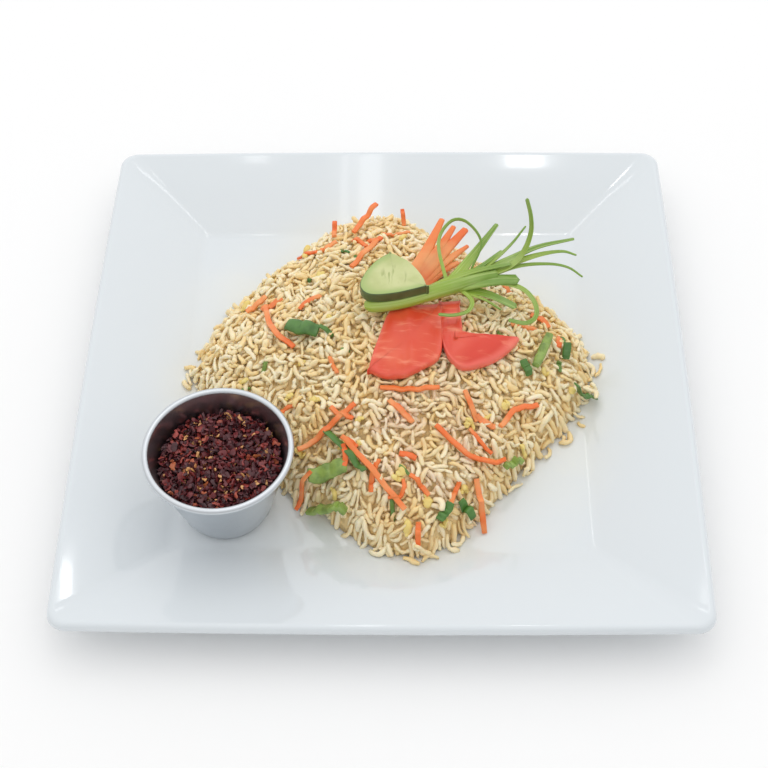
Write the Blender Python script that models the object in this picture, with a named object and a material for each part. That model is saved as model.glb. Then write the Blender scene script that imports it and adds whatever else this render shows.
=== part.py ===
"""Fried rice on a square wide-rimmed plate, with a steel sauce cup of chilli flakes and a garnish.

Metres, +Z up.  The origin is on the table under the plate's centre, +X runs to the right and
+Y away from the diner.  Sizes below are in millimetres and are turned to metres in new_object.
"""
import math

import bmesh
import bpy
from mathutils import Vector, noise
from mathutils.bvhtree import BVHTree

MM = 0.001
GAP = 0.4                      # air between neighbouring pieces

# plate
PLATE_HALF = 150.0             # half the plate's side
PLATE_CORNER = 9.0             # radius of the outer corners
PLATE_BOW = 1.2                # how far each side swells at its middle
PLATE_HEIGHT = 25.0            # table to the top of the rim
WELL_HALF = 100.0              # half the well's side, at the crease
WELL_CORNER = 4.0
FLOOR = 8.5                    # table to the top of the well's floor
RIM_THICK = 6.0
CREASE = 3.0                   # half width of the soft crease between well and rim
FOOT_OUT = 94.0
FOOT_IN = 88.0
FOOT_RECESS = 2.5
CORNER_STEPS = 5
SIDE_STEPS = 3

# rice heap: four nearly straight sides and four blunt corners round a centre, as facing
# (degrees from +X) and distance
HEAP_CENTRE = Vector((3.0, -2.0))
HEAP_SIDES = ((50.0, 87.0), (138.0, 92.0), (228.0, 84.0), (-40.0, 88.0))
HEAP_CORNERS = ((4.0, 109.0), (98.0, 116.0), (184.0, 106.0), (276.0, 113.0))
HEAP_SQUARENESS = 10.0
HEAP_PEAK = 43.0               # height of the middle above the well's floor
HEAP_FOOT = 3.0                # height of the heap's edge, about one grain
HEAP_STEPS = 64
HEAP_RINGS = (1.0, 0.985, 0.95, 0.9, 0.83, 0.75, 0.66, 0.56, 0.45, 0.34, 0.22, 0.1)
HEAP_UNDER = (0.4, 0.8, 0.97)
STEEP_BACK = 0.52              # falling power of the flank: low is steep
STEEP_FRONT = 0.74
HEAP_LUMP = 1.6                # height of the lumps and their spacing
LUMP_SPACING = 17.0
GRAIN_LUMP = 0.7
GRAIN_SPACING = 6.0

# sauce cup
CUP_PLACE = Vector((-74.5, -75.5))
CUP_HEIGHT = 48.0
CUP_FOOT_RADIUS = 20.5
CUP_RIM_RADIUS = 33.6
CUP_BEAD = 1.6
CUP_WALL = 1.0
CUP_FOOT_ROUND = 3.0
CUP_STEPS = 40
CUP_DENT_MARGIN = 4.0          # clear band that the rice keeps round the cup's foot

# chilli flakes
FLAKE_LEVEL = 38.0             # mean level above the cup's underside
FLAKE_CROWN = 2.0
FLAKE_LUMP = 1.0
FLAKE_SPACING = 5.0
FLAKE_RINGS = (1.0, 0.9, 0.72, 0.5, 0.25)

# garnish; routes and outlines run through a few points, x, y and z
STRIP_STEPS = 3                # samples to each span of a strip's route
STRIP_REACH = 1.9              # how far round its corners a strip looks for the rice below it
TOMATO_REACH = 3.2             # the same for a tomato slice, whose points lie further apart
TOMATO_THICK = 5.5
CUCUMBER_THICK = 6.5
STALK_ROUTE = ((-9, 6, 61), (8, 9, 61), (28, 16, 61), (45, 23, 60.5), (55, 26, 60))
STALK_SIZE = (8.6, 7.6)
# route, width and thickness at the root, share of the width left at the tip
STRANDS = (
    (((33, 20, 61), (45, 38, 63.5), (56, 52, 69)), (4.6, 1.8), 0.55),
    (((31, 20, 61), (27, 47, 61), (33, 58, 67), (41, 54, 71), (48, 40, 70), (43, 27, 64)), (1.8, 1.2), 0.8),
    (((42, 23, 61), (60, 29, 62.5), (68, 34, 67), (72, 40, 75), (72, 45, 82), (70, 51, 88)), (3.8, 1.8), 0.4),
    (((44, 24, 61), (61, 39, 66), (70, 48, 72)), (2.0, 1.3), 0.4),
    (((40, 22, 61), (60, 33, 63), (76, 41, 64.5), (94, 45, 66)), (3.6, 1.5), 0.3),
    (((60, 31, 62.2), (76, 37, 63), (88, 39, 63.5), (95, 37, 63)), (3.0, 1.4), 0.3),
    (((48, 24, 60.5), (66, 31, 61.5), (81, 33, 61), (91, 32, 59.5), (98, 28, 57)), (2.2, 1.4), 0.35),
    (((36, 19, 60.5), (53, 22, 61), (65, 23, 60.5)), (7.0, 3.6), 0.75),
    (((46, 22, 60), (60, 21, 60), (69, 18, 58.5), (74, 11, 56.5), (74, 4, 55), (69, 0, 55), (61, 1, 56)),
     (2.6, 1.3), 0.5),
    (((38, 18, 59.5), (52, 16, 57), (64, 10, 55.5)), (4.4, 1.6), 0.8),
    (((36, 17, 59.5), (49, 12, 58.5), (57, 6, 58)), (1.6, 1.2), 0.6),
    (((38, 17, 60), (43, 10, 60), (41, 3, 60.5), (34, 0, 61), (27, 0, 61.5)), (1.8, 1.2), 0.7),
)
CARROT_FINGERS = (
    (((13, 33, 53), (22, 53, 55), (31, 74, 59)), (5.4, 3.0), 0.5),
    (((15, 33, 53), (27, 52, 55), (37, 69, 58)), (5.2, 3.0), 0.45),
    (((17, 32, 53), (30, 50, 55), (42, 67, 57)), (5.2, 3.0), 0.6),
    (((18, 31, 53), (31, 45, 54), (43, 56, 55)), (5.0, 3.0), 0.3),
    (((19, 30, 53), (29, 40, 53.5), (37, 45, 54)), (5.0, 3.0), 0.4),
)
TOMATO_LEFT = ((4, 7), (14, 11), (26.4, 14), (27.4, 2), (27.6, -9), (27, -19), (20, -26), (11, -30),
               (0, -31), (-6, -28), (-3, -14))
TOMATO_RIGHT = ((28.8, 14.5), (37, 15), (38.5, -4), (51, -5), (65, -4), (58, -14), (47, -21),
                (37, -23), (30.5, -16), (28.6, -4))
TOMATO_RIGHT_HEART = (34.0, -10.0)
CUCUMBER_OUTLINE = ((4, 37), (-4, 30), (-10, 19), (-11, 11), (-6, 5.5), (6, 7), (20, 12.5), (18, 22), (9, 35))
CUCUMBER_NEAR = (5.0, 67.0)    # y and height of the slice's upper face at its near edge
CUCUMBER_FAR = (37.0, 63.0)    # the same at its far edge

# strips that lie on the rice: plan route with rise above it, width, thickness
CARROT_SHREDS = (
    (((-17, 74, 0), (-10, 85, 5), (-5, 91, 11)), 2.8, 2.2),
    (((-27, 71, 0), (-27, 76, 3), (-27, 80, 9)), 2.6, 2.0),
    (((9, 81, 0), (9, 85, 4), (8, 88, 11)), 1.8, 1.6),
    (((-4, 62, 0), (-11, 52, 0), (-17, 43, 0)), 2.8, 2.2),
    (((-60, 22, 0), (-56, 6, 0), (-50, -3, 0), (-43, -7, 0)), 2.2, 2.0),
    (((-70, 23, 0), (-60, 29, 0)), 3.0, 2.2),
    (((-13, -43, 0), (-26, -52, 0), (-40, -60, 0)), 2.6, 2.2),
    (((-19, -59, 0), (-8, -70, 0), (0, -80, 0), (6, -87, 0), (11, -92, 0)), 3.0, 2.2),
    (((3, -42, 0), (9, -47, 0), (14, -53, 0)), 2.4, 2.0),
    (((26, -53, 0), (35, -61, 0), (45, -66, 0), (58, -62, 0)), 2.6, 2.0),
    (((58, -48, 0), (61, -39, 0), (68, -34, 0), (76, -36, 0)), 2.4, 2.0),
    (((39, -35, 0), (45, -46, 0)), 2.4, 2.0),
    (((44, -73, 0), (47, -83, 0), (48, -91, 0)), 2.4, 2.0),
    (((17, -96, 0), (17, -106, 0)), 2.6, 2.2),
    (((-1, -35, 0), (13, -36, 0), (27, -35, 0)), 2.6, 2.0),
)
LEAF_STRIPS = (
    (((-47, 3, 0), (-40, 1, 0), (-32, -2, 0)), 10.0, 3.5),
    (((-27, -53, 0), (-17, -64, 0), (-8, -76, 0)), 3.6, 1.8),
    (((-34, -73, 0), (-26, -73, 0), (-17, -71, 0)), 8.0, 4.0),
    (((-35, -82, 0), (-26, -86, 0), (-17, -90, 0)), 6.0, 4.0),
    (((74, -15, 0), (78, -5, 0), (82, 6, 0)), 4.6, 3.0),
    (((94, -21, 0), (100, -17, 1), (106, -14, 1)), 3.6, 1.6),
    (((58, -66, 0), (67, -57, 0)), 4.0, 1.6),
    (((27, -95, 0), (32, -87, 0)), 4.6, 1.8),
    (((37, -84, 0), (43, -89, 0)), 4.6, 1.8),
    (((90, -4, 0), (91, 4, 0)), 4.0, 1.8),
    (((68, -12, 0), (71, -19, 0)), 4.0, 1.8),
)


# ---------------------------------------------------------------- mesh helpers

def clear_scene():
    for old in list(bpy.data.objects):
        bpy.data.objects.remove(old, do_unlink=True)


def material(name, colour, roughness, metallic=0.0):
    made = bpy.data.materials.get(name)
    if made is None:
        made = bpy.data.materials.new(name)
        made.use_nodes = True
        shader = made.node_tree.nodes["Principled BSDF"]
        shader.inputs["Base Color"].default_value = (*colour, 1.0)
        shader.inputs["Roughness"].default_value = roughness
        shader.inputs["Metallic"].default_value = metallic
    return made


def new_object(name, rings, finish, smooth_angle=None):
    """One closed solid: rings of points joined in order, with a fan at each end."""
    mesh = bpy.data.meshes.new(name)
    work = bmesh.new()
    rows = [[work.verts.new(Vector(point) * MM) for point in ring] for ring in rings]
    for lower, upper in zip(rows, rows[1:]):
        join_rows(work, lower, upper)
    close_row(work, rows[0])
    close_row(work, rows[-1])
    bmesh.ops.triangulate(work, faces=work.faces[:])
    bmesh.ops.recalc_face_normals(work, faces=work.faces[:])
    work.to_mesh(mesh)
    work.free()
    if smooth_angle is not None:
        mesh.shade_smooth()
        mesh.set_sharp_from_angle(angle=math.radians(smooth_angle))
    mesh.materials.append(finish)
    made = bpy.data.objects.new(name, mesh)
    bpy.context.scene.collection.objects.link(made)
    return made


def join_rows(work, lower, upper):
    count = len(lower)
    for i in range(count):
        j = (i + 1) % count
        work.faces.new((lower[i], lower[j], upper[j], upper[i]))


def close_row(work, row):
    middle = sum((vert.co for vert in row), Vector()) / len(row)
    centre = work.verts.new(middle)
    for i in range(len(row)):
        work.faces.new((row[i], row[(i + 1) % len(row)], centre))


def smooth_path(points, steps):
    """Catmull-Rom curve through the points, steps samples to each span."""
    ends = [points[0] * 2 - points[1], *points, points[-1] * 2 - points[-2]]
    path = []
    for i in range(1, len(ends) - 2):
        for step in range(steps):
            path.append(catmull_rom(ends[i - 1:i + 3], step / steps))
    path.append(points[-1])
    return path


def closed_path(points, steps):
    """Closed Catmull-Rom curve through the points."""
    count = len(points)
    path = []
    for i in range(count):
        knots = [points[(i + k) % count] for k in (-1, 0, 1, 2)]
        for step in range(steps):
            path.append(catmull_rom(knots, step / steps))
    return path


def catmull_rom(knots, t):
    a, b, c, d = knots
    return 0.5 * (2 * b + (c - a) * t + (2 * a - 5 * b + 4 * c - d) * t * t
                  + (3 * b - 3 * c + d - a) * t ** 3)


# ---------------------------------------------------------------- plate

def square_ring(half, corner, bow, z):
    """A square with round corners whose sides swell by bow at their middles."""
    ring = []
    for quarter in range(4):
        turn = math.radians(90.0 * quarter)
        for step in range(CORNER_STEPS):
            angle = math.radians(90.0 * step / (CORNER_STEPS - 1))
            x = half - corner + corner * math.cos(angle)
            y = half - corner + corner * math.sin(angle)
            ring.append(turned(x, y, z, turn))
        for step in range(1, SIDE_STEPS + 1):
            along = 1.0 - 2.0 * step / (SIDE_STEPS + 1)
            y = half + bow * (1.0 - along * along)
            ring.append(turned(along * (half - corner), y, z, turn))
    return ring


def turned(x, y, z, angle):
    return (x * math.cos(angle) - y * math.sin(angle), x * math.sin(angle) + y * math.cos(angle), z)


def plate_section():
    """Half-size and height down the plate's section, from the well's floor out over the rim."""
    top_out = PLATE_HALF - 0.6 * RIM_THICK
    slope = (PLATE_HEIGHT - FLOOR) / (PLATE_HALF - WELL_HALF)
    sink = RIM_THICK * math.hypot(1.0, slope)
    edge_top = PLATE_HEIGHT - 0.3 * slope * RIM_THICK
    top = [(WELL_HALF - 8 * CREASE, FLOOR),
           (WELL_HALF - CREASE, FLOOR),
           (WELL_HALF, FLOOR + 0.25 * slope * CREASE),
           (WELL_HALF + CREASE, FLOOR + slope * CREASE),
           (top_out, FLOOR + slope * (top_out - WELL_HALF))]
    edge = [(PLATE_HALF - 0.22 * RIM_THICK, edge_top),
            (PLATE_HALF, edge_top - 0.30 * RIM_THICK),
            (PLATE_HALF, edge_top - 0.62 * RIM_THICK),
            (PLATE_HALF - 0.25 * RIM_THICK, edge_top - 0.9 * RIM_THICK),
            (top_out - 2.0, FLOOR + slope * (top_out - 2.0 - WELL_HALF) - sink)]
    under = [(WELL_HALF + 3 * CREASE, FLOOR + 3 * slope * CREASE - sink),
             (FOOT_OUT + 1.5, 0.5 * FOOT_RECESS),
             (FOOT_OUT, 0.0),
             (FOOT_IN, 0.0),
             (FOOT_IN - 1.5, FOOT_RECESS)]
    return top, edge, under


def plate_top(x, y):
    """Height of the plate's upper face under a point of the heap."""
    top, _, _ = plate_section()
    reach = max(abs(x), abs(y))
    for (half_a, z_a), (half_b, z_b) in zip(top, top[1:]):
        if reach <= half_b:
            share = max(0.0, (reach - half_a) / (half_b - half_a))
            return z_a + share * (z_b - z_a)
    return top[-1][1]


def make_plate():
    top, edge, under = plate_section()
    rings = []
    for half, z in top + edge + under:
        spread = (half - WELL_HALF) / (PLATE_HALF - WELL_HALF)
        share = min(1.0, max(0.0, spread))
        corner = WELL_CORNER + share * (PLATE_CORNER - WELL_CORNER)
        rings.append(square_ring(half, corner, PLATE_BOW * share, z))
    glaze = material("white_glaze", (0.80, 0.82, 0.83), 0.12)
    return new_object("plate", rings, glaze, smooth_angle=40)


# ---------------------------------------------------------------- rice heap

def side_radius(angle):
    """Distance from the heap's centre to its outline, before any unevenness."""
    total = 0.0
    for facing, distance in HEAP_SIDES + HEAP_CORNERS:
        lean = math.cos(angle - math.radians(facing))
        if lean > 0.0:
            total += (lean / distance) ** HEAP_SQUARENESS
    return total ** (-1.0 / HEAP_SQUARENESS)


def cup_limit(angle):
    """Largest radius along a heading that stays clear of the sauce cup's foot."""
    to_cup = CUP_PLACE - HEAP_CENTRE
    heading = Vector((math.cos(angle), math.sin(angle)))
    along = to_cup.dot(heading)
    aside = abs(to_cup.cross(heading))
    clear = CUP_FOOT_RADIUS + CUP_DENT_MARGIN
    if along <= 0.0 or aside >= clear:
        return float("inf")
    return along - math.sqrt(clear * clear - aside * aside)


def heap_radius(angle):
    wave = noise.noise(Vector((2.1 * math.cos(angle), 2.1 * math.sin(angle), 3.0)))
    ripple = noise.noise(Vector((9.0 * math.cos(angle), 9.0 * math.sin(angle), 7.0)))
    radius = side_radius(angle) + 3.0 * wave + 2.0 * ripple
    return min(radius, cup_limit(angle))


def heap_top(share, angle):
    """Point on the heap's upper face at a share of the radius along a heading."""
    radius = share * heap_radius(angle)
    x = HEAP_CENTRE.x + radius * math.cos(angle)
    y = HEAP_CENTRE.y + radius * math.sin(angle)
    backness = 0.5 + 0.5 * math.sin(angle)
    steep = STEEP_FRONT + backness * (STEEP_BACK - STEEP_FRONT)
    swell = (1.0 - share ** 2.2) ** steep
    lump = HEAP_LUMP * noise.noise(Vector((x, y, 0.0)) / LUMP_SPACING)
    grain = GRAIN_LUMP * noise.noise(Vector((x, y, 40.0)) / GRAIN_SPACING)
    rise = HEAP_FOOT + (HEAP_PEAK - HEAP_FOOT) * swell + 2.0 * min(1.0, 4.0 * swell) * (lump + grain)
    floor = plate_top(x, y) * (1.0 - swell) + FLOOR * swell
    return (x, y, floor + rise)


def heap_under(share, angle):
    radius = share * heap_radius(angle)
    x = HEAP_CENTRE.x + radius * math.cos(angle)
    y = HEAP_CENTRE.y + radius * math.sin(angle)
    return (x, y, plate_top(x, y) + GAP)


def make_heap():
    angles = [math.tau * i / HEAP_STEPS for i in range(HEAP_STEPS)]
    rings = [[heap_under(share, angle) for angle in angles] for share in HEAP_UNDER]
    rings += [[heap_top(share, angle) for angle in angles] for share in HEAP_RINGS]
    rice = material("cooked_rice", (0.72, 0.62, 0.40), 0.55)
    return new_object("rice_heap", rings, rice, smooth_angle=60)


# ---------------------------------------------------------------- sauce cup and flakes

def lathe_ring(radius, z, steps=CUP_STEPS):
    return [(CUP_PLACE.x + radius * math.cos(math.tau * i / steps),
             CUP_PLACE.y + radius * math.sin(math.tau * i / steps), z) for i in range(steps)]


def cup_radius(height):
    """Outer radius of the tapering wall at a height above the cup's underside."""
    return CUP_FOOT_RADIUS + (CUP_RIM_RADIUS - CUP_FOOT_RADIUS) * height / CUP_HEIGHT


def make_cup():
    base = FLOOR + GAP
    section = [(CUP_FOOT_RADIUS - CUP_FOOT_ROUND, 0.0),
               (CUP_FOOT_RADIUS - 0.3 * CUP_FOOT_ROUND, 0.3 * CUP_FOOT_ROUND),
               (cup_radius(CUP_FOOT_ROUND), CUP_FOOT_ROUND),
               (cup_radius(0.5 * CUP_HEIGHT), 0.5 * CUP_HEIGHT),
               (cup_radius(CUP_HEIGHT - 2 * CUP_BEAD), CUP_HEIGHT - 2 * CUP_BEAD)]
    for step in range(6):
        turn = math.radians(-60 + 40 * step)
        section.append((CUP_RIM_RADIUS + CUP_BEAD * math.cos(turn),
                        CUP_HEIGHT - CUP_BEAD + CUP_BEAD * math.sin(turn)))
    section += [(cup_radius(CUP_HEIGHT - 2 * CUP_BEAD) - CUP_WALL, CUP_HEIGHT - 2 * CUP_BEAD),
                (cup_radius(CUP_FOOT_ROUND) - CUP_WALL, CUP_FOOT_ROUND),
                (CUP_FOOT_RADIUS - CUP_FOOT_ROUND, CUP_WALL)]
    rings = [lathe_ring(radius, base + z) for radius, z in section]
    steel = material("polished_steel", (0.62, 0.62, 0.64), 0.25, metallic=1.0)
    return new_object("sauce_cup", rings, steel, smooth_angle=50)


def make_flakes():
    base = FLOOR + GAP
    inner = CUP_WALL + GAP
    rings = [lathe_ring(CUP_FOOT_RADIUS - CUP_FOOT_ROUND - GAP, base + CUP_WALL + GAP),
             lathe_ring(cup_radius(CUP_FOOT_ROUND) - inner, base + CUP_FOOT_ROUND + GAP)]
    for share in FLAKE_RINGS:
        ring = []
        for x, y, _ in lathe_ring(share * (cup_radius(FLAKE_LEVEL) - inner - GAP), 0.0):
            lump = FLAKE_LUMP * noise.noise(Vector((x, y, 11.0)) / FLAKE_SPACING)
            ring.append((x, y, base + FLAKE_LEVEL + FLAKE_CROWN * (0.5 - share * share) + lump))
        rings.append(ring)
    chilli = material("chilli_flake", (0.16, 0.03, 0.02), 0.6)
    return new_object("chilli_flakes", rings, chilli, smooth_angle=60)


# ---------------------------------------------------------------- laying pieces on the heap

DOWN = Vector((0.0, 0.0, -1.0))
HIGH = 300.0


class Pile:
    """The pieces laid so far, asked for the height of their upper faces."""

    def __init__(self):
        self.trees = []
        self.points = []

    def add(self, placed):
        tree, points = solid_of(placed)
        self.trees.append(tree)
        self.points.extend(points)

    def height(self, x, y):
        best = 0.0
        for tree in self.trees:
            hit = tree.ray_cast(Vector((x, y, HIGH)) * MM, DOWN)[0]
            if hit is not None:
                best = max(best, hit.z / MM)
        return best

    def cover(self, x, y, reach):
        """Highest point of the pile within reach of a place."""
        best = self.height(x, y)
        for step in range(8):
            angle = math.tau * step / 8
            best = max(best, self.height(x + reach * math.cos(angle), y + reach * math.sin(angle)))
        return best

    def rest(self, placed):
        """Move a rigid piece up or down until it just clears the pile, and add it."""
        tree, points = solid_of(placed)
        lifts = [self.height(p.x / MM, p.y / MM) - p.z / MM for p in points]
        for p in self.points:
            hit = tree.ray_cast(Vector((p.x, p.y, -HIGH * MM)), -DOWN)[0]
            if hit is not None:
                lifts.append((p.z - hit.z) / MM)
        placed.location.z += (max(lifts) + GAP) * MM
        self.add(placed)


def solid_of(placed):
    """Search tree and points of a piece as it stands, in metres."""
    bpy.context.view_layer.update()
    graph = bpy.context.evaluated_depsgraph_get()
    shape = placed.evaluated_get(graph).to_mesh()
    points = [placed.matrix_world @ vert.co for vert in shape.vertices]
    tree = BVHTree.FromPolygons(points, [tuple(face.vertices) for face in shape.polygons])
    return tree, points


def make_strip(name, route, width, thick, finish, pile):
    """A flat strip that follows the rice below it."""
    across = 2 + int(width / 4.0)
    path = smooth_path([Vector(point) for point in route], STRIP_STEPS)
    rings = []
    for i, point in enumerate(path):
        heading = path[min(i + 1, len(path) - 1)] - path[max(i - 1, 0)]
        side = Vector((-heading.y, heading.x, 0.0)).normalized()
        under, over = [], []
        for k in range(across):
            share = 2.0 * k / (across - 1) - 1.0
            x = point.x + 0.5 * width * share * side.x
            y = point.y + 0.5 * width * share * side.y
            z = pile.cover(x, y, STRIP_REACH) + GAP + point.z
            under.append((x, y, z))
            over.append((x, y, z + thick * (1.0 - 0.3 * share * share)))
        rings.append(under + over[::-1])
    made = new_object(name, rings, finish)
    pile.add(made)
    return made


def make_tomato(name, outline, heart, finish, pile):
    """A soft slice, thick in the middle, that follows the rice below it."""
    edge = closed_path([Vector(point) for point in outline], 2)

    def ring(share, rise):
        made = []
        for point in edge:
            x = heart.x + share * (point.x - heart.x)
            y = heart.y + share * (point.y - heart.y)
            made.append((x, y, pile.cover(x, y, TOMATO_REACH) + GAP + rise))
        return made

    rings = [ring(0.3, 0.0), ring(0.65, 0.0), ring(0.97, 0.0), ring(1.0, 0.25 * TOMATO_THICK),
             ring(0.9, 0.68 * TOMATO_THICK), ring(0.7, 0.92 * TOMATO_THICK), ring(0.35, TOMATO_THICK)]
    made = new_object(name, rings, finish, smooth_angle=50)
    pile.add(made)
    return made


def make_tomatoes(pile):
    left = material("tomato_flesh", (0.80, 0.10, 0.05), 0.25)
    right = material("tomato_petal", (0.78, 0.06, 0.05), 0.25)
    middle = sum((Vector(point) for point in TOMATO_LEFT), Vector((0.0, 0.0))) / len(TOMATO_LEFT)
    make_tomato("tomato_left", TOMATO_LEFT, middle, left, pile)
    make_tomato("tomato_right", TOMATO_RIGHT, Vector(TOMATO_RIGHT_HEART), right, pile)


def tube_rings(route, size, tip, sides, steps):
    """Rings of an oval tube along a route, flat side up, narrowing to a share at its tip."""
    path = smooth_path([Vector(point) for point in route], steps)
    rings = []
    side = None
    for i, point in enumerate(path):
        heading = (path[min(i + 1, len(path) - 1)] - path[max(i - 1, 0)]).normalized()
        level = heading.cross(Vector((0.0, 0.0, 1.0)))
        if side is None:
            side = level.normalized()
        side = (side - heading * side.dot(heading)).normalized()
        up = side.cross(heading)
        narrow = 1.0 + (tip - 1.0) * i / (len(path) - 1)
        ring = []
        for k in range(sides):
            angle = math.tau * (k + 0.5) / sides
            ring.append(point + side * (0.5 * size[0] * narrow * math.cos(angle))
                        + up * (0.5 * size[1] * math.sqrt(narrow) * math.sin(angle)))
        rings.append(ring)
    return rings


def add_branches(trunk, branches, sides, finish):
    """Join branches to a trunk as one solid."""
    for number, (route, size, tip) in enumerate(branches):
        rings = tube_rings(route, size, tip, sides, 3)
        guide = new_object(f"{trunk.name}_guide_{number}", rings, finish)
        guide.hide_render = True
        guide.display_type = "WIRE"
        guide.parent = trunk
        union = trunk.modifiers.new(f"strand_{number}", "BOOLEAN")
        union.operation = "UNION"
        union.solver = "EXACT"
        union.object = guide


def make_scallion_brush(pile):
    green = material("scallion_green", (0.26, 0.42, 0.08), 0.35)
    stalk = new_object("scallion_brush", tube_rings(STALK_ROUTE, STALK_SIZE, 0.9, 10, 3), green)
    add_branches(stalk, STRANDS, 5, green)
    pile.rest(stalk)


def make_carrot_brush(pile):
    orange = material("carrot_orange", (0.85, 0.25, 0.05), 0.4)
    route, size, tip = CARROT_FINGERS[0]
    first = new_object("carrot_brush", tube_rings(route, size, tip, 6, 3), orange)
    add_branches(first, CARROT_FINGERS[1:], 6, orange)
    pile.rest(first)


def make_cucumber(pile):
    edge = closed_path([Vector(point) for point in CUCUMBER_OUTLINE], 2)
    heart = sum(edge, Vector((0.0, 0.0))) / len(edge)
    fall = (CUCUMBER_FAR[1] - CUCUMBER_NEAR[1]) / (CUCUMBER_FAR[0] - CUCUMBER_NEAR[0])

    def ring(share, drop):
        made = []
        for point in edge:
            spot = heart + share * (point - heart)
            made.append((spot.x, spot.y, CUCUMBER_NEAR[1] + fall * (spot.y - CUCUMBER_NEAR[0]) - drop))
        return made

    flesh = material("cucumber_flesh", (0.62, 0.70, 0.38), 0.3)
    rings = [ring(0.93, CUCUMBER_THICK), ring(1.0, 0.7 * CUCUMBER_THICK), ring(1.0, 0.1 * CUCUMBER_THICK),
             ring(0.97, 0.0)]
    made = new_object("cucumber_slice", rings, flesh)
    pile.rest(made)


def make_strips(pile):
    carrot = material("carrot_shred", (0.85, 0.28, 0.06), 0.45)
    leaf = material("leaf_green", (0.13, 0.28, 0.05), 0.4)
    for number, (route, width, thick) in enumerate(CARROT_SHREDS, start=1):
        make_strip(f"carrot_shred_{number:02d}", route, width, thick, carrot, pile)
    for number, (route, width, thick) in enumerate(LEAF_STRIPS, start=1):
        make_strip(f"leaf_strip_{number:02d}", route, width, thick, leaf, pile)


def main():
    clear_scene()
    pile = Pile()
    pile.add(make_plate())
    pile.add(make_heap())
    make_cup()
    make_flakes()
    make_tomatoes(pile)
    make_strips(pile)
    make_carrot_brush(pile)
    make_scallion_brush(pile)
    make_cucumber(pile)


main()
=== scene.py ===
"""Fried rice on a square plate: grain, glaze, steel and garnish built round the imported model."""

import math

import bmesh
import bpy
import numpy as np
from mathutils import Matrix, Vector, noise
from mathutils.bvhtree import BVHTree


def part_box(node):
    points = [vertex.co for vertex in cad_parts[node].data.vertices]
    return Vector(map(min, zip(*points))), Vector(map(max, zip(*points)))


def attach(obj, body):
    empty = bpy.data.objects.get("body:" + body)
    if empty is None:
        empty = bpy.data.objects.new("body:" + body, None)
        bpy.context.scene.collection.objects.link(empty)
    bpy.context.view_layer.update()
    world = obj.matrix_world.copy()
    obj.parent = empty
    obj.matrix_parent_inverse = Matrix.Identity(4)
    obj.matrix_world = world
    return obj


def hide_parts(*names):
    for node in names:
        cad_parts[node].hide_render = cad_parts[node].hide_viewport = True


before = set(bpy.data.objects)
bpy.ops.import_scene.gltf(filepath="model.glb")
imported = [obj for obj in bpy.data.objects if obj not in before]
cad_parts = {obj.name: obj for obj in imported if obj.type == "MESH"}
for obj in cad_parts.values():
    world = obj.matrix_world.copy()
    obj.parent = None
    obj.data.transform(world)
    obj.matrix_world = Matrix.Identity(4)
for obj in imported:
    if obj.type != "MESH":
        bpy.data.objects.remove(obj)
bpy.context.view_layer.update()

bl_info = {
    "name": "Fried Rice Plate",
    "version": (1, 0, 0),
    "blender": (4, 5, 0),
    "location": "View3D > Sidebar > Fried Rice",
    "description": "Builds a plate of fried rice with a sauce cup and a vegetable garnish",
    "category": "Add Mesh",
}

MM = 0.001


def srgb(red, green, blue):
    """A screen colour, 0 to 255, as linear values."""
    made = []
    for value in (red, green, blue):
        share = value / 255.0
        made.append(share / 12.92 if share <= 0.04045 else ((share + 0.055) / 1.055) ** 2.4)
    return tuple(made)


def corners(node):
    """Lowest and highest corner of a CAD node, in millimetres."""
    low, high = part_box(node)
    return low / MM, high / MM


# ---------------------------------------------------------------- settings

class PlateSettings(bpy.types.PropertyGroup):
    well_half: bpy.props.FloatProperty(
        name="Well half side", description="Half the side of the plate's flat well",
        default=0.100, unit="LENGTH")
    floor_height: bpy.props.FloatProperty(
        name="Well floor", description="Height of the well's upper face above the table",
        default=0.0085, unit="LENGTH")
    rim_thickness: bpy.props.FloatProperty(
        name="Rim thickness", description="Thickness of the sloping rim",
        default=0.006, unit="LENGTH")
    glaze: bpy.props.FloatVectorProperty(
        name="Glaze", description="Colour of the glaze", subtype="COLOR", size=3,
        default=srgb(219, 225, 229))


class RiceSettings(bpy.types.PropertyGroup):
    grain_length: bpy.props.FloatProperty(
        name="Grain length", description="Middling length of a cooked grain",
        default=0.0076, unit="LENGTH")
    grain_width: bpy.props.FloatProperty(
        name="Grain width", description="Middling width of a cooked grain",
        default=0.0026, unit="LENGTH")
    core_depth: bpy.props.FloatProperty(
        name="Core depth", description="How far the solid core lies under the heap's outside",
        default=0.0040, unit="LENGTH")
    pale: bpy.props.FloatVectorProperty(
        name="Pale grain", description="Colour of the palest grains", subtype="COLOR", size=3,
        default=srgb(253, 238, 202))
    golden: bpy.props.FloatVectorProperty(
        name="Golden grain", description="Colour of the grains most stained by oil", subtype="COLOR",
        size=3, default=srgb(248, 217, 156))


class CupSettings(bpy.types.PropertyGroup):
    foot_radius: bpy.props.FloatProperty(
        name="Foot radius", description="Radius of the cup's flat foot",
        default=0.0205, unit="LENGTH")
    wall: bpy.props.FloatProperty(
        name="Wall", description="Thickness of the steel wall", default=0.0010, unit="LENGTH")
    bead: bpy.props.FloatProperty(
        name="Rolled rim", description="Radius of the rolled rim", default=0.0016, unit="LENGTH")
    steel: bpy.props.FloatVectorProperty(
        name="Steel", description="Colour of the steel", subtype="COLOR", size=3,
        default=(0.64, 0.67, 0.70))
    chilli: bpy.props.FloatVectorProperty(
        name="Chilli", description="Colour of the fried chilli", subtype="COLOR", size=3,
        default=srgb(106, 34, 40))


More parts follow.
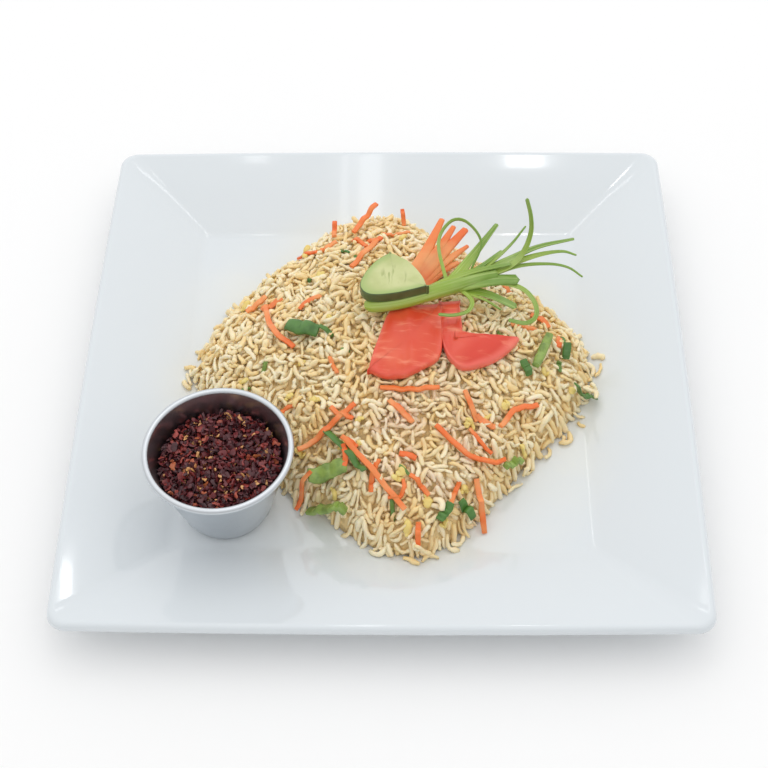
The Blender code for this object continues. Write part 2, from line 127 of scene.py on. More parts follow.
class GarnishSettings(bpy.types.PropertyGroup):
    carrot: bpy.props.FloatVectorProperty(
        name="Carrot", description="Colour of the carrot", subtype="COLOR", size=3,
        default=srgb(243, 133, 68))
    leaf: bpy.props.FloatVectorProperty(
        name="Leaf", description="Colour of the cooked leaf", subtype="COLOR", size=3,
        default=srgb(70, 122, 50))
    scallion: bpy.props.FloatVectorProperty(
        name="Scallion", description="Colour of the scallion", subtype="COLOR", size=3,
        default=srgb(158, 182, 64))
    tomato: bpy.props.FloatVectorProperty(
        name="Tomato", description="Colour of the tomato flesh", subtype="COLOR", size=3,
        default=srgb(232, 98, 62))
    cucumber: bpy.props.FloatVectorProperty(
        name="Cucumber", description="Colour of the cucumber flesh", subtype="COLOR", size=3,
        default=srgb(186, 194, 128))


class StageSettings(bpy.types.PropertyGroup):
    camera_distance: bpy.props.FloatProperty(
        name="Camera distance", description="From the camera to the point that it looks at",
        default=0.7601, unit="LENGTH")
    camera_height: bpy.props.FloatProperty(
        name="Camera elevation", description="Angle of the view above the table",
        default=math.radians(52.72), unit="ROTATION")
    camera_turn: bpy.props.FloatProperty(
        name="Camera turn", description="Turn of the view round the plate's upright axis",
        default=math.radians(2.24), unit="ROTATION")
    camera_roll: bpy.props.FloatProperty(
        name="Camera roll", description="Tilt of the picture", default=math.radians(1.73),
        unit="ROTATION")
    lens: bpy.props.FloatProperty(
        name="Lens", description="Focal length for a 36 mm wide sensor, in millimetres",
        default=71.9)
    sky: bpy.props.FloatProperty(
        name="Sky light", description="Strength of the even white light", default=0.64)
    glow: bpy.props.FloatProperty(
        name="Ceiling glow", description="Strength added towards the ceiling", default=0.60)


# ---------------------------------------------------------------- shader writing

class Wire:
    """A node's output in an expression: each operation adds a Math node."""

    def __init__(self, paint, socket):
        self.paint = paint
        self.socket = socket

    def math(self, operation, first, second=0.0):
        return self.paint.node("ShaderNodeMath", {"operation": operation}, {0: first, 1: second})

    def __add__(self, other):
        return self.math("ADD", self, other)

    def __radd__(self, other):
        return self.math("ADD", other, self)

    def __sub__(self, other):
        return self.math("SUBTRACT", self, other)

    def __rsub__(self, other):
        return self.math("SUBTRACT", other, self)

    def __mul__(self, other):
        return self.math("MULTIPLY", self, other)

    def __rmul__(self, other):
        return self.math("MULTIPLY", other, self)


class Paint:
    """One material's node tree, written with few words."""

    def __init__(self, name):
        self.material = bpy.data.materials.new(name)
        self.material.use_nodes = True
        self.tree = self.material.node_tree
        self.shader = self.tree.nodes["Principled BSDF"]

    def node(self, kind, settings=None, inputs=None, output=0):
        """Add a node: its settings first, then the values or links of its sockets."""
        made = self.tree.nodes.new(kind)
        for key, value in (settings or {}).items():
            if key == "stops":
                self.set_stops(made.color_ramp, value)
            else:
                setattr(made, key, value)
        for key, value in (inputs or {}).items():
            self.feed(made.inputs[key], value)
        return Wire(self, made.outputs[output])

    def set_stops(self, ramp, stops):
        while len(ramp.elements) < len(stops):
            ramp.elements.new(1.0)
        for element, (place, colour) in zip(ramp.elements, stops):
            element.position = place
            element.color = (*colour, 1.0)

    def feed(self, socket, value):
        if isinstance(value, Wire):
            self.tree.links.new(value.socket, socket)
        elif isinstance(value, (tuple, list)) and len(value) == 3 and socket.type == "RGBA":
            socket.default_value = (*value, 1.0)
        else:
            socket.default_value = value

    def place(self):
        return self.node("ShaderNodeTexCoord", output="Object")

    def value(self, name):
        """A number that the mesh carries at each point."""
        return self.node("ShaderNodeAttribute", {"attribute_name": name}, output="Fac")

    def away(self, x, y):
        """Plan distance in metres from a place given in millimetres."""
        flat = self.node("ShaderNodeVectorMath", {"operation": "MULTIPLY"},
                         {0: self.place(), 1: (1.0, 1.0, 0.0)})
        return self.node("ShaderNodeVectorMath", {"operation": "DISTANCE"},
                         {0: flat, 1: (x * MM, y * MM, 0.0)}, output=1)

    def stretched(self, scale, turn=(0.0, 0.0, 0.0)):
        return self.node("ShaderNodeMapping", None,
                         {"Vector": self.place(), "Rotation": turn, "Scale": scale})

    def noise(self, scale, detail=2.0, roughness=0.5, vector=None):
        return self.node("ShaderNodeTexNoise", None,
                         {"Vector": vector or self.place(), "Scale": scale, "Detail": detail,
                          "Roughness": roughness})

    def spread(self, wire, low, high, out_low=0.0, out_high=1.0):
        """Stretch a range of values smoothly over another."""
        return self.node("ShaderNodeMapRange", {"interpolation_type": "SMOOTHSTEP"},
                         {"Value": wire, "From Min": low, "From Max": high,
                          "To Min": out_low, "To Max": out_high})

    def mix(self, share, first, second):
        return self.node("ShaderNodeMix", {"data_type": "RGBA"}, {0: share, 6: first, 7: second},
                         output=2)

    def bump(self, height, strength, distance):
        return self.node("ShaderNodeBump", None,
                         {"Height": height, "Strength": strength, "Distance": distance})

    def finish(self, **inputs):
        for key, value in inputs.items():
            self.feed(self.shader.inputs[key.replace("_", " ").title().replace("Ior", "IOR")], value)
        return self.material


def soften(paint, weight, colour, scale):
    """A little light passing through food."""
    paint.feed(paint.shader.inputs["Subsurface Weight"], weight)
    paint.feed(paint.shader.inputs["Subsurface Radius"], colour)
    paint.feed(paint.shader.inputs["Subsurface Scale"], scale)


# ---------------------------------------------------------------- mesh writing

def new_piece(name, points, quads, triangles, finish, values=None, cells=None, outward=False):
    """A piece from arrays in millimetres, with numbers for its points and texture places."""
    mesh = bpy.data.meshes.new(name)
    quads = np.asarray(quads, dtype=np.int32).reshape(-1, 4)
    triangles = np.asarray(triangles, dtype=np.int32).reshape(-1, 3)
    loops = np.concatenate([quads.ravel(), triangles.ravel()])
    totals = np.concatenate([np.full(len(quads), 4), np.full(len(triangles), 3)])
    starts = np.concatenate([[0], np.cumsum(totals)[:-1]])
    mesh.vertices.add(len(points))
    mesh.vertices.foreach_set("co", (np.asarray(points, dtype=np.float32) * MM).ravel())
    mesh.loops.add(len(loops))
    mesh.loops.foreach_set("vertex_index", loops.astype(np.int32))
    mesh.polygons.add(len(totals))
    mesh.polygons.foreach_set("loop_start", starts.astype(np.int32))
    mesh.polygons.foreach_set("loop_total", totals.astype(np.int32))
    mesh.update(calc_edges=True)
    mesh.validate()
    for key, numbers in (values or {}).items():
        layer = mesh.attributes.new(key, "FLOAT", "POINT")
        layer.data.foreach_set("value", np.asarray(numbers, dtype=np.float32))
    if cells is not None:
        layer = mesh.uv_layers.new(name="OFBake")
        layer.data.foreach_set("uv", np.asarray(cells, dtype=np.float32).ravel())
    if outward:
        work = bmesh.new()
        work.from_mesh(mesh)
        bmesh.ops.recalc_face_normals(work, faces=work.faces[:])
        work.to_mesh(mesh)
        work.free()
    mesh.shade_smooth()
    mesh.materials.append(finish)
    made = bpy.data.objects.new(name, mesh)
    bpy.context.scene.collection.objects.link(made)
    return made


def settle(piece, slot, *nodes):
    """Hang the finished piece on the root body and hide the nodes that it stands for."""
    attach(piece, "root")
    if nodes:
        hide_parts(*nodes)


def unit(vectors):
    length = np.linalg.norm(vectors, axis=-1, keepdims=True)
    return vectors / np.maximum(length, 1e-9)


def sweep(paths, wide, high, roll=0.0, sides=6, squareness=1.0, tip=0.5):
    """Tubes round many paths at once: points, quads, triangles and a texture cell for each tube.

    paths is tubes by steps by 3; wide and high are half sizes, tubes by steps.
    """
    paths = np.asarray(paths, dtype=float)
    tubes, steps, _ = paths.shape
    ahead = unit(np.gradient(paths, axis=1))
    side = unit(np.cross(ahead, (0.0, 0.0, 1.0)))
    up = np.cross(side, ahead)
    roll = np.broadcast_to(np.asarray(roll, dtype=float).reshape(-1, 1, 1), (tubes, 1, 1))
    side, up = side * np.cos(roll) + up * np.sin(roll), up * np.cos(roll) - side * np.sin(roll)
    turn = math.tau * np.arange(sides) / sides
    across = np.sign(np.cos(turn)) * np.abs(np.cos(turn)) ** squareness
    rise = np.sign(np.sin(turn)) * np.abs(np.sin(turn)) ** squareness
    wide = np.broadcast_to(wide, (tubes, steps))
    high = np.broadcast_to(high, (tubes, steps))
    rings = (paths[:, :, None, :]
             + side[:, :, None, :] * (wide[:, :, None] * across)[..., None]
             + up[:, :, None, :] * (high[:, :, None] * rise)[..., None])
    head = paths[:, 0] - ahead[:, 0] * (tip * wide[:, 0])[:, None]
    tail = paths[:, -1] + ahead[:, -1] * (tip * wide[:, -1])[:, None]
    each = steps * sides + 2
    points = np.concatenate([rings.reshape(tubes, steps * sides, 3), head[:, None], tail[:, None]],
                            axis=1)
    one_quads, one_triangles, quad_places, triangle_places = tube_faces(steps, sides)
    base = (np.arange(tubes) * each)[:, None, None]
    cells = tube_cells(tubes, quad_places, triangle_places)
    return (points.reshape(-1, 3), (one_quads + base).reshape(-1, 4),
            (one_triangles + base).reshape(-1, 3), cells, each)


def tube_faces(steps, sides):
    """Faces of one tube and the place of each corner in a unit square."""
    quads, triangles, quad_places, triangle_places = [], [], [], []
    for i in range(steps - 1):
        for k in range(sides):
            j = (k + 1) % sides
            quads.append((i * sides + k, (i + 1) * sides + k, (i + 1) * sides + j, i * sides + j))
            low, high = (i + 1) / (steps + 1), (i + 2) / (steps + 1)
            quad_places.append([(low, k / sides), (high, k / sides), (high, (k + 1) / sides),
                                (low, (k + 1) / sides)])
    head, tail = steps * sides, steps * sides + 1
    for k in range(sides):
        j = (k + 1) % sides
        first, last = 1 / (steps + 1), steps / (steps + 1)
        triangles.append((head, k, j))
        triangle_places.append([(0.0, (k + 0.5) / sides), (first, k / sides), (first, (k + 1) / sides)])
        triangles.append((tail, (steps - 1) * sides + j, (steps - 1) * sides + k))
        triangle_places.append([(1.0, (k + 0.5) / sides), (last, (k + 1) / sides), (last, k / sides)])
    return (np.array(quads), np.array(triangles), np.array(quad_places), np.array(triangle_places))


def tube_cells(tubes, quad_places, triangle_places):
    """Texture places: each tube in its own cell of a square grid."""
    across = math.ceil(math.sqrt(tubes))
    corner = np.stack([np.arange(tubes) % across, np.arange(tubes) // across], axis=1)
    corner = corner[:, None, None, :] + 0.06
    spread = 0.88
    quads = (corner + quad_places[None] * spread) / across
    triangles = (corner + triangle_places[None] * spread) / across
    return np.concatenate([quads.reshape(-1, 2), triangles.reshape(-1, 2)])


def curve_through(points, steps):
    """Smooth curve through the points, steps samples in all, evenly spaced."""
    knots = np.asarray(points, dtype=float)
    padded = np.concatenate([[2 * knots[0] - knots[1]], knots, [2 * knots[-1] - knots[-2]]])
    made = []
    for i in range(len(knots) - 1):
        a, b, c, d = padded[i:i + 4]
        t = np.linspace(0.0, 1.0, 16, endpoint=False)[:, None]
        made.append(0.5 * (2 * b + (c - a) * t + (2 * a - 5 * b + 4 * c - d) * t ** 2
                           + (3 * b - 3 * c + d - a) * t ** 3))
    fine = np.concatenate(made + [knots[-1:]])
    along = np.concatenate([[0.0], np.cumsum(np.linalg.norm(np.diff(fine, axis=0), axis=1))])
    even = np.linspace(0.0, along[-1], steps)
    return np.stack([np.interp(even, along, fine[:, k]) for k in range(fine.shape[1])], axis=1)


def loft(rings):
    """Quads that join rings of equal count, and fans over the first and the last."""
    count = len(rings[0])
    points = [point for ring in rings for point in ring]
    quads = []
    for i in range(len(rings) - 1):
        for k in range(count):
            j = (k + 1) % count
            quads.append((i * count + k, i * count + j, (i + 1) * count + j, (i + 1) * count + k))
    first = np.mean(rings[0], axis=0)
    last = np.mean(rings[-1], axis=0)
    points = np.concatenate([np.asarray(points, dtype=float), [first, last]])
    head, tail = len(points) - 2, len(points) - 1
    top = (len(rings) - 1) * count
    triangles = []
    for k in range(count):
        j = (k + 1) % count
        triangles.append((head, j, k))
        triangles.append((tail, top + k, top + j))
    return points, quads, triangles


def tree_of(node):
    """Search tree of a CAD node's faces, in metres."""
    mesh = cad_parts[node].data
    return BVHTree.FromPolygons([vert.co for vert in mesh.vertices],
                                [tuple(face.vertices) for face in mesh.polygons])


def top_of(tree, x, y):
    """Height of the tree's upper face over a place, in millimetres, or None."""
    hit = tree.ray_cast(Vector((x * MM, y * MM, 0.5)), Vector((0.0, 0.0, -1.0)))[0]
    return None if hit is None else hit.z / MM


# ---------------------------------------------------------------- plate

CREASE = 3.0
FOOT_OUT = 94.0
FOOT_IN = 88.0
FOOT_RECESS = 2.5
PLATE_BOW = 1.2
RIM_SLOPE = 0.33


def plate_slope():
    """Well half side, floor height and the rise of the rim for each millimetre outwards."""
    sizes = bpy.context.scene.rice_plate
    _, high = corners("plate")
    well = sizes.well_half / MM
    floor = sizes.floor_height / MM
    half = high.x - PLATE_BOW
    return well, floor, RIM_SLOPE, half


def plate_top(x, y):
    """Height of the plate's upper face; x and y may be arrays."""
    well, floor, slope, _ = plate_slope()
    reach = np.maximum(np.abs(x), np.abs(y)) - well
    return floor + slope * np.maximum(0.0, reach)


def square_ring(half, corner, bow, z):
    """A square with round corners whose sides swell by bow at their middles."""
    ring = []
    for quarter in range(4):
        turn = math.radians(90.0 * quarter)
        for step in range(13):
            angle = math.radians(90.0 * step / 12)
            x = half - corner + corner * math.cos(angle)
            y = half - corner + corner * math.sin(angle)
            ring.append((x * math.cos(turn) - y * math.sin(turn),
                         x * math.sin(turn) + y * math.cos(turn), z))
        for step in range(1, 16):
            along = 1.0 - 2.0 * step / 16
            x = along * (half - corner)
            y = half + bow * (1.0 - along * along)
            ring.append((x * math.cos(turn) - y * math.sin(turn),
                         x * math.sin(turn) + y * math.cos(turn), z))
    return ring


def plate_section():
    """Half side and height down the section, from the well's middle out over the rim and back."""
    sizes = bpy.context.scene.rice_plate
    well, floor, slope, half = plate_slope()
    thick = sizes.rim_thickness / MM
    sink = thick * math.hypot(1.0, slope)
    section = [(well * 0.5, floor), (well - 3 * CREASE, floor)]
    for step in range(7):
        share = step / 6
        x = well - CREASE + 2 * CREASE * share
        section.append((x, floor + slope * CREASE * share * share))
    top_out = half - 0.6 * thick
    section.append((0.5 * (well + top_out), floor + slope * (0.5 * (top_out - well))))
    section.append((top_out, floor + slope * (top_out - well)))
    edge_z = floor + slope * (top_out - well) - 0.5 * thick + 0.25
    for step in range(1, 10):
        angle = math.radians(100.0 - 20.0 * step)
        section.append((half - 0.5 * thick + 0.5 * thick * math.cos(angle),
                        edge_z + 0.5 * thick * math.sin(angle)))
    section.append((top_out - 4.0, floor + slope * (top_out - 4.0 - well) - sink))
    section += [(well + 3 * CREASE, floor + 3 * slope * CREASE - sink),
                (well + CREASE, 0.55 * FOOT_RECESS),
                (FOOT_OUT + 1.2, 0.35 * FOOT_RECESS), (FOOT_OUT, 0.0), (FOOT_IN, 0.0),
                (FOOT_IN - 1.5, FOOT_RECESS), (FOOT_IN * 0.5, FOOT_RECESS)]
    return section


def glaze_paint(colour):
    paint = Paint("white_glaze")
    stain = paint.spread(paint.noise(26.0, 3.0), 0.45, 0.75, 0.0, 0.35)
    inner = 1.0 - paint.spread(paint.away(3.0, -2.0), 0.085, 0.135)
    tint = paint.mix(stain * inner + 0.25 * inner, colour, srgb(236, 235, 222))
    ripple = paint.noise(14.0, 2.0)
    return paint.finish(base_color=tint, roughness=0.07 + 0.05 * paint.noise(60.0, 3.0), ior=1.5,
                        coat_weight=0.3, coat_roughness=0.03, normal=paint.bump(ripple, 0.04, 0.001))


class RICE_OT_plate(bpy.types.Operator):
    """Build the square glazed plate"""
    bl_idname = "fried_rice.plate"
    bl_label = "Plate"

    def execute(self, context):
        sizes = context.scene.rice_plate
        well, _, _, half = plate_slope()
        rings = []
        for x, z in plate_section():
            share = min(1.0, max(0.0, (x - well) / (half - well)))
            rings.append(square_ring(x, min(4.0 + 5.0 * share, 0.45 * x), PLATE_BOW * share, z))
        points, quads, triangles = loft(rings[::-1])
        plate = new_piece("square_plate", points, quads, triangles, glaze_paint(tuple(sizes.glaze)),
                          outward=True)
        plate.data.set_sharp_from_angle(angle=math.radians(50))
        settle(plate, "plate", "plate")
        return {"FINISHED"}


# ---------------------------------------------------------------- sauce cup

CUP_STEPS = 96


def cup_axis():
    """Centre, underside, height and rim radius of the sauce cup."""
    low, high = corners("sauce_cup")
    return (low.x + high.x) / 2, (low.y + high.y) / 2, low.z, high.z - low.z, (high.x - low.x) / 2


def cup_ring(radius, z):
    x, y, base, _, _ = cup_axis()
    turns = [math.tau * i / CUP_STEPS for i in range(CUP_STEPS)]
    return [(x + radius * math.cos(turn), y + radius * math.sin(turn), base + z) for turn in turns]


def cup_radius(height):
    """Outer radius of the tapering wall."""
    sizes = bpy.context.scene.rice_cup
    _, _, _, tall, rim = cup_axis()
    foot = sizes.foot_radius / MM
    return foot + (rim - sizes.bead / MM - foot) * height / tall


def steel_paint(name, colour, roughness):
    paint = Paint(name)
    x, y, base, _, _ = cup_axis()
    centred = paint.node("ShaderNodeVectorMath", {"operation": "SUBTRACT"},
                         {0: paint.place(), 1: (x * MM, y * MM, base * MM)})
    stretched = paint.node("ShaderNodeMapping", None, {"Vector": centred, "Scale": (30.0, 30.0, 1600.0)})
    brushing = paint.noise(1.0, 3.0, 0.6, stretched)
    cloud = paint.noise(90.0, 3.0, 0.5)
    tone = paint.mix(cloud * 0.5, colour, tuple(0.86 * value for value in colour))
    # Painted reflection and shade: the inside wall's colour is pulled towards dark purple, standing in
    # for the flakes and the dark room that the steel reflects.
    tone = paint.mix(0.6 * paint.value("inner"), tone, srgb(70, 58, 74))
    rough = roughness + 0.10 * brushing + 0.06 * cloud
    return paint.finish(base_color=tone, metallic=1.0, roughness=rough,
                        normal=paint.bump(brushing, 0.06, 0.0002))


class RICE_OT_cup(bpy.types.Operator):
    """Build the steel sauce cup"""
    bl_idname = "fried_rice.cup"
    bl_label = "Sauce cup"

    def execute(self, context):
        sizes = context.scene.rice_cup
        foot, wall, bead = sizes.foot_radius / MM, sizes.wall / MM, sizes.bead / MM
        _, _, _, tall, rim = cup_axis()
        section = [(foot * 0.5, 0.4), (foot - 4.0, 0.3), (foot - 3.4, 0.0)]
        for step in range(7):
            angle = math.radians(-90 + 13 * step)
            section.append((foot - 3.0 + 3.0 * math.cos(angle), 3.0 + 3.0 * math.sin(angle)))
        section += [(cup_radius(z), z) for z in (6.0, 16.0, 26.0, 36.0, tall - 5.0)]
        section.append((cup_radius(tall - 3.4), tall - 3.4))
        for step in range(13):
            angle = math.radians(-70 + 20 * step)
            section.append((rim - bead + bead * math.cos(angle), tall - bead + bead * math.sin(angle)))
        section += [(cup_radius(z) - wall, z) for z in (tall - 4.0, tall - 12.0, 20.0, 4.0)]
        section += [(foot - 3.5, wall), (foot * 0.4, wall)]
        points, quads, triangles = loft([cup_ring(radius, z) for radius, z in section])
        # Rows of the inside wall, which take the painted reflection and shade in the steel's colour.
        inner = [1.0 if row > len(section) - 6 else 0.0 for row in range(len(section))]
        painted_reflection_share = np.append(np.repeat(inner, CUP_STEPS), (0.0, 1.0))
        cup = new_piece("steel_cup", points, quads, triangles,
                        steel_paint("spun_steel", tuple(sizes.steel), 0.22),
                        {"inner": painted_reflection_share}, outward=True)
        cup.data.set_sharp_from_angle(angle=math.radians(50))
        settle(cup, "cup", "sauce_cup")
        return {"FINISHED"}


# ---------------------------------------------------------------- bed of things that lie on each other

class Bed:
    """Heights of what lies in a space so far, on a square grid, in millimetres."""

    def __init__(self, low, high, step, heights):
        self.low, self.step = np.asarray(low), step
        self.shape = (int((high[0] - low[0]) / step) + 1, int((high[1] - low[1]) / step) + 1)
        xs = low[0] + step * np.arange(self.shape[0])
        ys = low[1] + step * np.arange(self.shape[1])
        self.xs, self.ys = np.meshgrid(xs, ys, indexing="ij")
        self.heights = heights(self.xs, self.ys)

    def cell(self, x, y):
        i = np.clip(((x - self.low[0]) / self.step + 0.5).astype(int), 0, self.shape[0] - 1)
        j = np.clip(((y - self.low[1]) / self.step + 0.5).astype(int), 0, self.shape[1] - 1)
        return i * self.shape[1] + j

    def at(self, x, y):
        return self.heights.ravel()[self.cell(np.asarray(x), np.asarray(y))]

    def under(self, path, half_width):
        """Height under each step of a plan path, the highest across its width."""
        ahead = unit(np.gradient(path[:, :2], axis=0))
        side = np.stack([-ahead[:, 1], ahead[:, 0]], axis=1)
        rows = [self.at(path[:, 0] + side[:, 0] * o, path[:, 1] + side[:, 1] * o)
                for o in (-0.7 * half_width, 0.0, 0.7 * half_width)]
        return np.max(rows, axis=0)

    def raise_along(self, path, half_width, half_height):
        """Add a rounded thing whose middle line is path."""
        reach = max(1, int(half_width / self.step + 0.5))
        grid = np.arange(-reach, reach + 1) * self.step
        dx, dy = np.meshgrid(grid, grid, indexing="ij")
        share = (dx * dx + dy * dy) / (half_width * half_width)
        inside = share < 1.0
        dx, dy = dx[inside], dy[inside]
        rise = half_height * np.sqrt(1.0 - share[inside])
        cells = self.cell(path[:, 0, None] + dx, path[:, 1, None] + dy)
        np.maximum.at(self.heights.ravel(), cells.ravel(), (path[:, 2, None] + rise).ravel())


TILT_PLAY = 0.55


def laid(bed, path, half_width, half_height, softness, lean=0.0):
    """Heights of the middle line of a bendy thing that rests on the bed, near to a given lean."""
    ground = bed.under(path, half_width)
    along = np.concatenate([[0.0], np.cumsum(np.linalg.norm(np.diff(path[:, :2], axis=0), axis=1))])
    along = along - along[-1] / 2
    spread = float(np.sum(along * along)) or 1.0
    tilt = np.clip(np.sum(along * (ground - ground.mean())) / spread, lean - TILT_PLAY, lean + TILT_PLAY)
    straight = np.percentile(ground - tilt * along, 65) + tilt * along
    kernel = np.array([0.25, 0.5, 0.25])
    bent = np.convolve(np.pad(ground, 1, mode="edge"), kernel, mode="valid")
    return (1.0 - softness) * straight + softness * bent + half_height


# ---------------------------------------------------------------- rice

GRID_STEP = 0.6
HEAP_MARGIN = 14.0
GRAIN_STEPS = 7
GRAIN_SIDES = 6
SEED = 20
OUTLINE_INSET = 3.0
FOOT_GRAIN = 1.6
FOOT_SLOPE = 2.2
SURFACE_INSET = 1.0
GRAIN_TRIES = 4
PROUD = 1.0
TOP_PROUD = 1.8
TOP_GRAINS = 520
MOST_GRAINS = 6900
LOOSE_GRAINS = 70
GRAIN_KINDS = (("pale_grains", -0.16), ("oiled_grains", 0.0), ("golden_grains", 0.18))
# spots tried in one go, and the fewest open spots worth going on for
BATCH = 160
FEWEST_SPOTS = 40
MOST_LEAN = 1.3
# how far in from the outline the foot's slope holds, in millimetres
FOOT_REACH = 8.9
# a limit that no grain reaches, for the loose ones at the foot
ANY_HEIGHT = 99.0


def heap_shape():
    """Function that gives the heap's outside over arrays of places, and nan beyond its outline."""
    tree = tree_of("rice_heap")

    def outside(xs, ys):
        flat = [top_of(tree, x, y) for x, y in zip(xs.ravel(), ys.ravel())]
        return np.array([np.nan if z is None else z for z in flat]).reshape(xs.shape)

    return outside


class Heap:
    """The rice as it is being heaped: its outside, what lies there and the grains laid so far."""

    def __init__(self):
        low, high = corners("rice_heap")
        low = (low.x - HEAP_MARGIN, low.y - HEAP_MARGIN)
        high = (high.x + HEAP_MARGIN, high.y + HEAP_MARGIN)
        depth = bpy.context.scene.rice_grains.core_depth / MM
        self.bed = Bed(low, high, GRID_STEP, plate_top)
        plate = self.bed.heights.copy()
        outside = heap_shape()(self.bed.xs, self.bed.ys)
        solid = ~np.isnan(outside)
        within = GRID_STEP * sum(shrunk(solid, steps).astype(float) for steps in range(1, 16))
        self.inside = within > OUTLINE_INSET
        slope = plate + FOOT_GRAIN + FOOT_SLOPE * np.maximum(0.0, within - OUTLINE_INSET)
        loose = np.where(solid, outside - SURFACE_INSET + self.clumps(), plate)
        self.goal = np.where(within < FOOT_REACH, np.minimum(loose, slope), loose)
        self.smooth_goal = blurred(self.goal, 4)
        self.bed.heights = np.where(self.inside, np.maximum(plate, self.goal - depth), plate)
        self.rng = np.random.default_rng(SEED)
        self.grains = []

    def clumps(self):
        """Uneven swelling where grains stick together."""
        spots = zip(self.bed.xs.ravel(), self.bed.ys.ravel())
        swell = [1.2 * noise.noise(Vector((x, y, 2.0)) / 8.0)
                 + 0.7 * noise.noise(Vector((x, y, 9.0)) / 4.0)
                 for x, y in spots]
        return np.array(swell).reshape(self.bed.shape)

    def lean(self, path):
        """Slope of the heap's outside along a plan path."""
        ends = self.smooth_goal.ravel()[self.bed.cell(path[[0, -1], 0], path[[0, -1], 1])]
        run = float(np.linalg.norm(path[-1, :2] - path[0, :2])) or 1.0
        return float(np.clip((ends[1] - ends[0]) / run, -MOST_LEAN, MOST_LEAN))

    def grain_path(self, x, y, length):
        """A bent plan line of a grain round a place."""
        heading = self.rng.uniform(0.0, math.pi)
        along = np.linspace(-0.5, 0.5, GRAIN_STEPS)
        bow = self.rng.normal(0.0, 0.20) * length
        aside = bow * (0.25 - along * along) * 4.0
        hook = self.rng.normal(0.0, 0.10) * length * np.maximum(0.0, along) ** 2 * 4.0
        aside = aside + hook
        px = x + along * length * math.cos(heading) - aside * math.sin(heading)
        py = y + along * length * math.sin(heading) + aside * math.cos(heading)
        return np.stack([px, py, np.zeros(GRAIN_STEPS)], axis=1)

    def lay_grain(self, x, y, lively, proud):
        """Lay a grain the way in which it lies lowest, unless it would stand out too far."""
        sizes = bpy.context.scene.rice_grains
        length = sizes.grain_length / MM * np.clip(self.rng.normal(1.0, 0.15), 0.62, 1.3)
        if self.rng.random() < 0.12:
            length *= self.rng.uniform(0.45, 0.7)
        thick = sizes.grain_width / MM * np.clip(self.rng.normal(1.0, 0.13), 0.70, 1.3)
        lowest, path = proud, None
        for _ in range(GRAIN_TRIES):
            tried = self.grain_path(x, y, length)
            middle = tried[GRAIN_STEPS // 2, :2].copy()
            tried[:, :2] = middle + (tried[:, :2] - middle) / math.hypot(1.0, self.lean(tried))
            tried[:, 2] = laid(self.bed, tried, 0.4 * thick, 0.34 * thick, 0.6, self.lean(tried))
            goal = self.goal.ravel()[self.bed.cell(tried[:, 0], tried[:, 1])]
            standing = float(np.mean(tried[:, 2] - goal))
            if standing < lowest:
                lowest, path = standing, tried
        if path is None:
            return False
        along = np.linspace(-1.0, 1.0, GRAIN_STEPS)
        path[:, 2] += lively * self.rng.normal(0.0, 0.5) * along
        path[:, 2] += lively * self.rng.normal(0.1, 0.3) * (1.0 - along ** 2)
        self.bed.raise_along(path, 0.5 * thick, 0.45 * thick)
        self.grains.append((path, thick))
        return True

    def fill(self, short_by, limit, lively):
        """Lay grains wherever the bed is still short of the heap's outside."""
        hopeful = self.inside.ravel().copy()
        near_x, near_y = (offset.ravel() for offset in np.meshgrid((-GRID_STEP, 0.0, GRID_STEP),
                                                                   (-GRID_STEP, 0.0, GRID_STEP)))
        goal, heights = self.goal.ravel(), self.bed.heights.ravel()
        while len(self.grains) < limit:
            spots = np.flatnonzero(hopeful & (goal - heights > short_by))
            if len(spots) < FEWEST_SPOTS:
                return
            for spot in self.rng.choice(spots, size=min(BATCH, len(spots)), replace=False):
                if goal[spot] - heights[spot] > short_by:
                    x, y = self.bed.xs.ravel()[spot], self.bed.ys.ravel()[spot]
                    if not self.lay_grain(x, y, lively, PROUD):
                        hopeful[self.bed.cell(x + near_x, y + near_y)] = False

    def scatter_top(self, count):
        """Grains that lie over the others, and over the strips, here and there."""
        spots = np.flatnonzero(self.inside.ravel())
        for spot in self.rng.choice(spots, size=count, replace=False):
            self.lay_grain(self.bed.xs.ravel()[spot], self.bed.ys.ravel()[spot], 1.0, TOP_PROUD)

    def scatter_foot(self, count):
        """Loose grains on the plate just outside the outline."""
        edge = self.inside & ~shrunk(self.inside, 1)
        spots = np.flatnonzero(edge.ravel())
        cup_x, cup_y, _, _, cup_rim = cup_axis()
        for spot in self.rng.choice(spots, size=count, replace=False):
            x, y = self.bed.xs.ravel()[spot], self.bed.ys.ravel()[spot]
            push = 1.02 + abs(self.rng.normal(0.0, 0.018))
            x, y = x * push, y * push
            if math.hypot(x - cup_x, y - cup_y) > cup_rim - 4.0:
                self.lay_grain(x, y, 0.3, ANY_HEIGHT)


def shrunk(mask, steps):
    """A mask drawn in from its outline by a number of cells."""
    for _ in range(steps):
        mask = (mask & np.roll(mask, 1, 0) & np.roll(mask, -1, 0)
                & np.roll(mask, 1, 1) & np.roll(mask, -1, 1))
    return mask


def blurred(heights, passes):
    for _ in range(passes):
        for axis in (0, 1):
            heights = (np.roll(heights, 1, axis) + 2.0 * heights + np.roll(heights, -1, axis)) / 4.0
    return heights


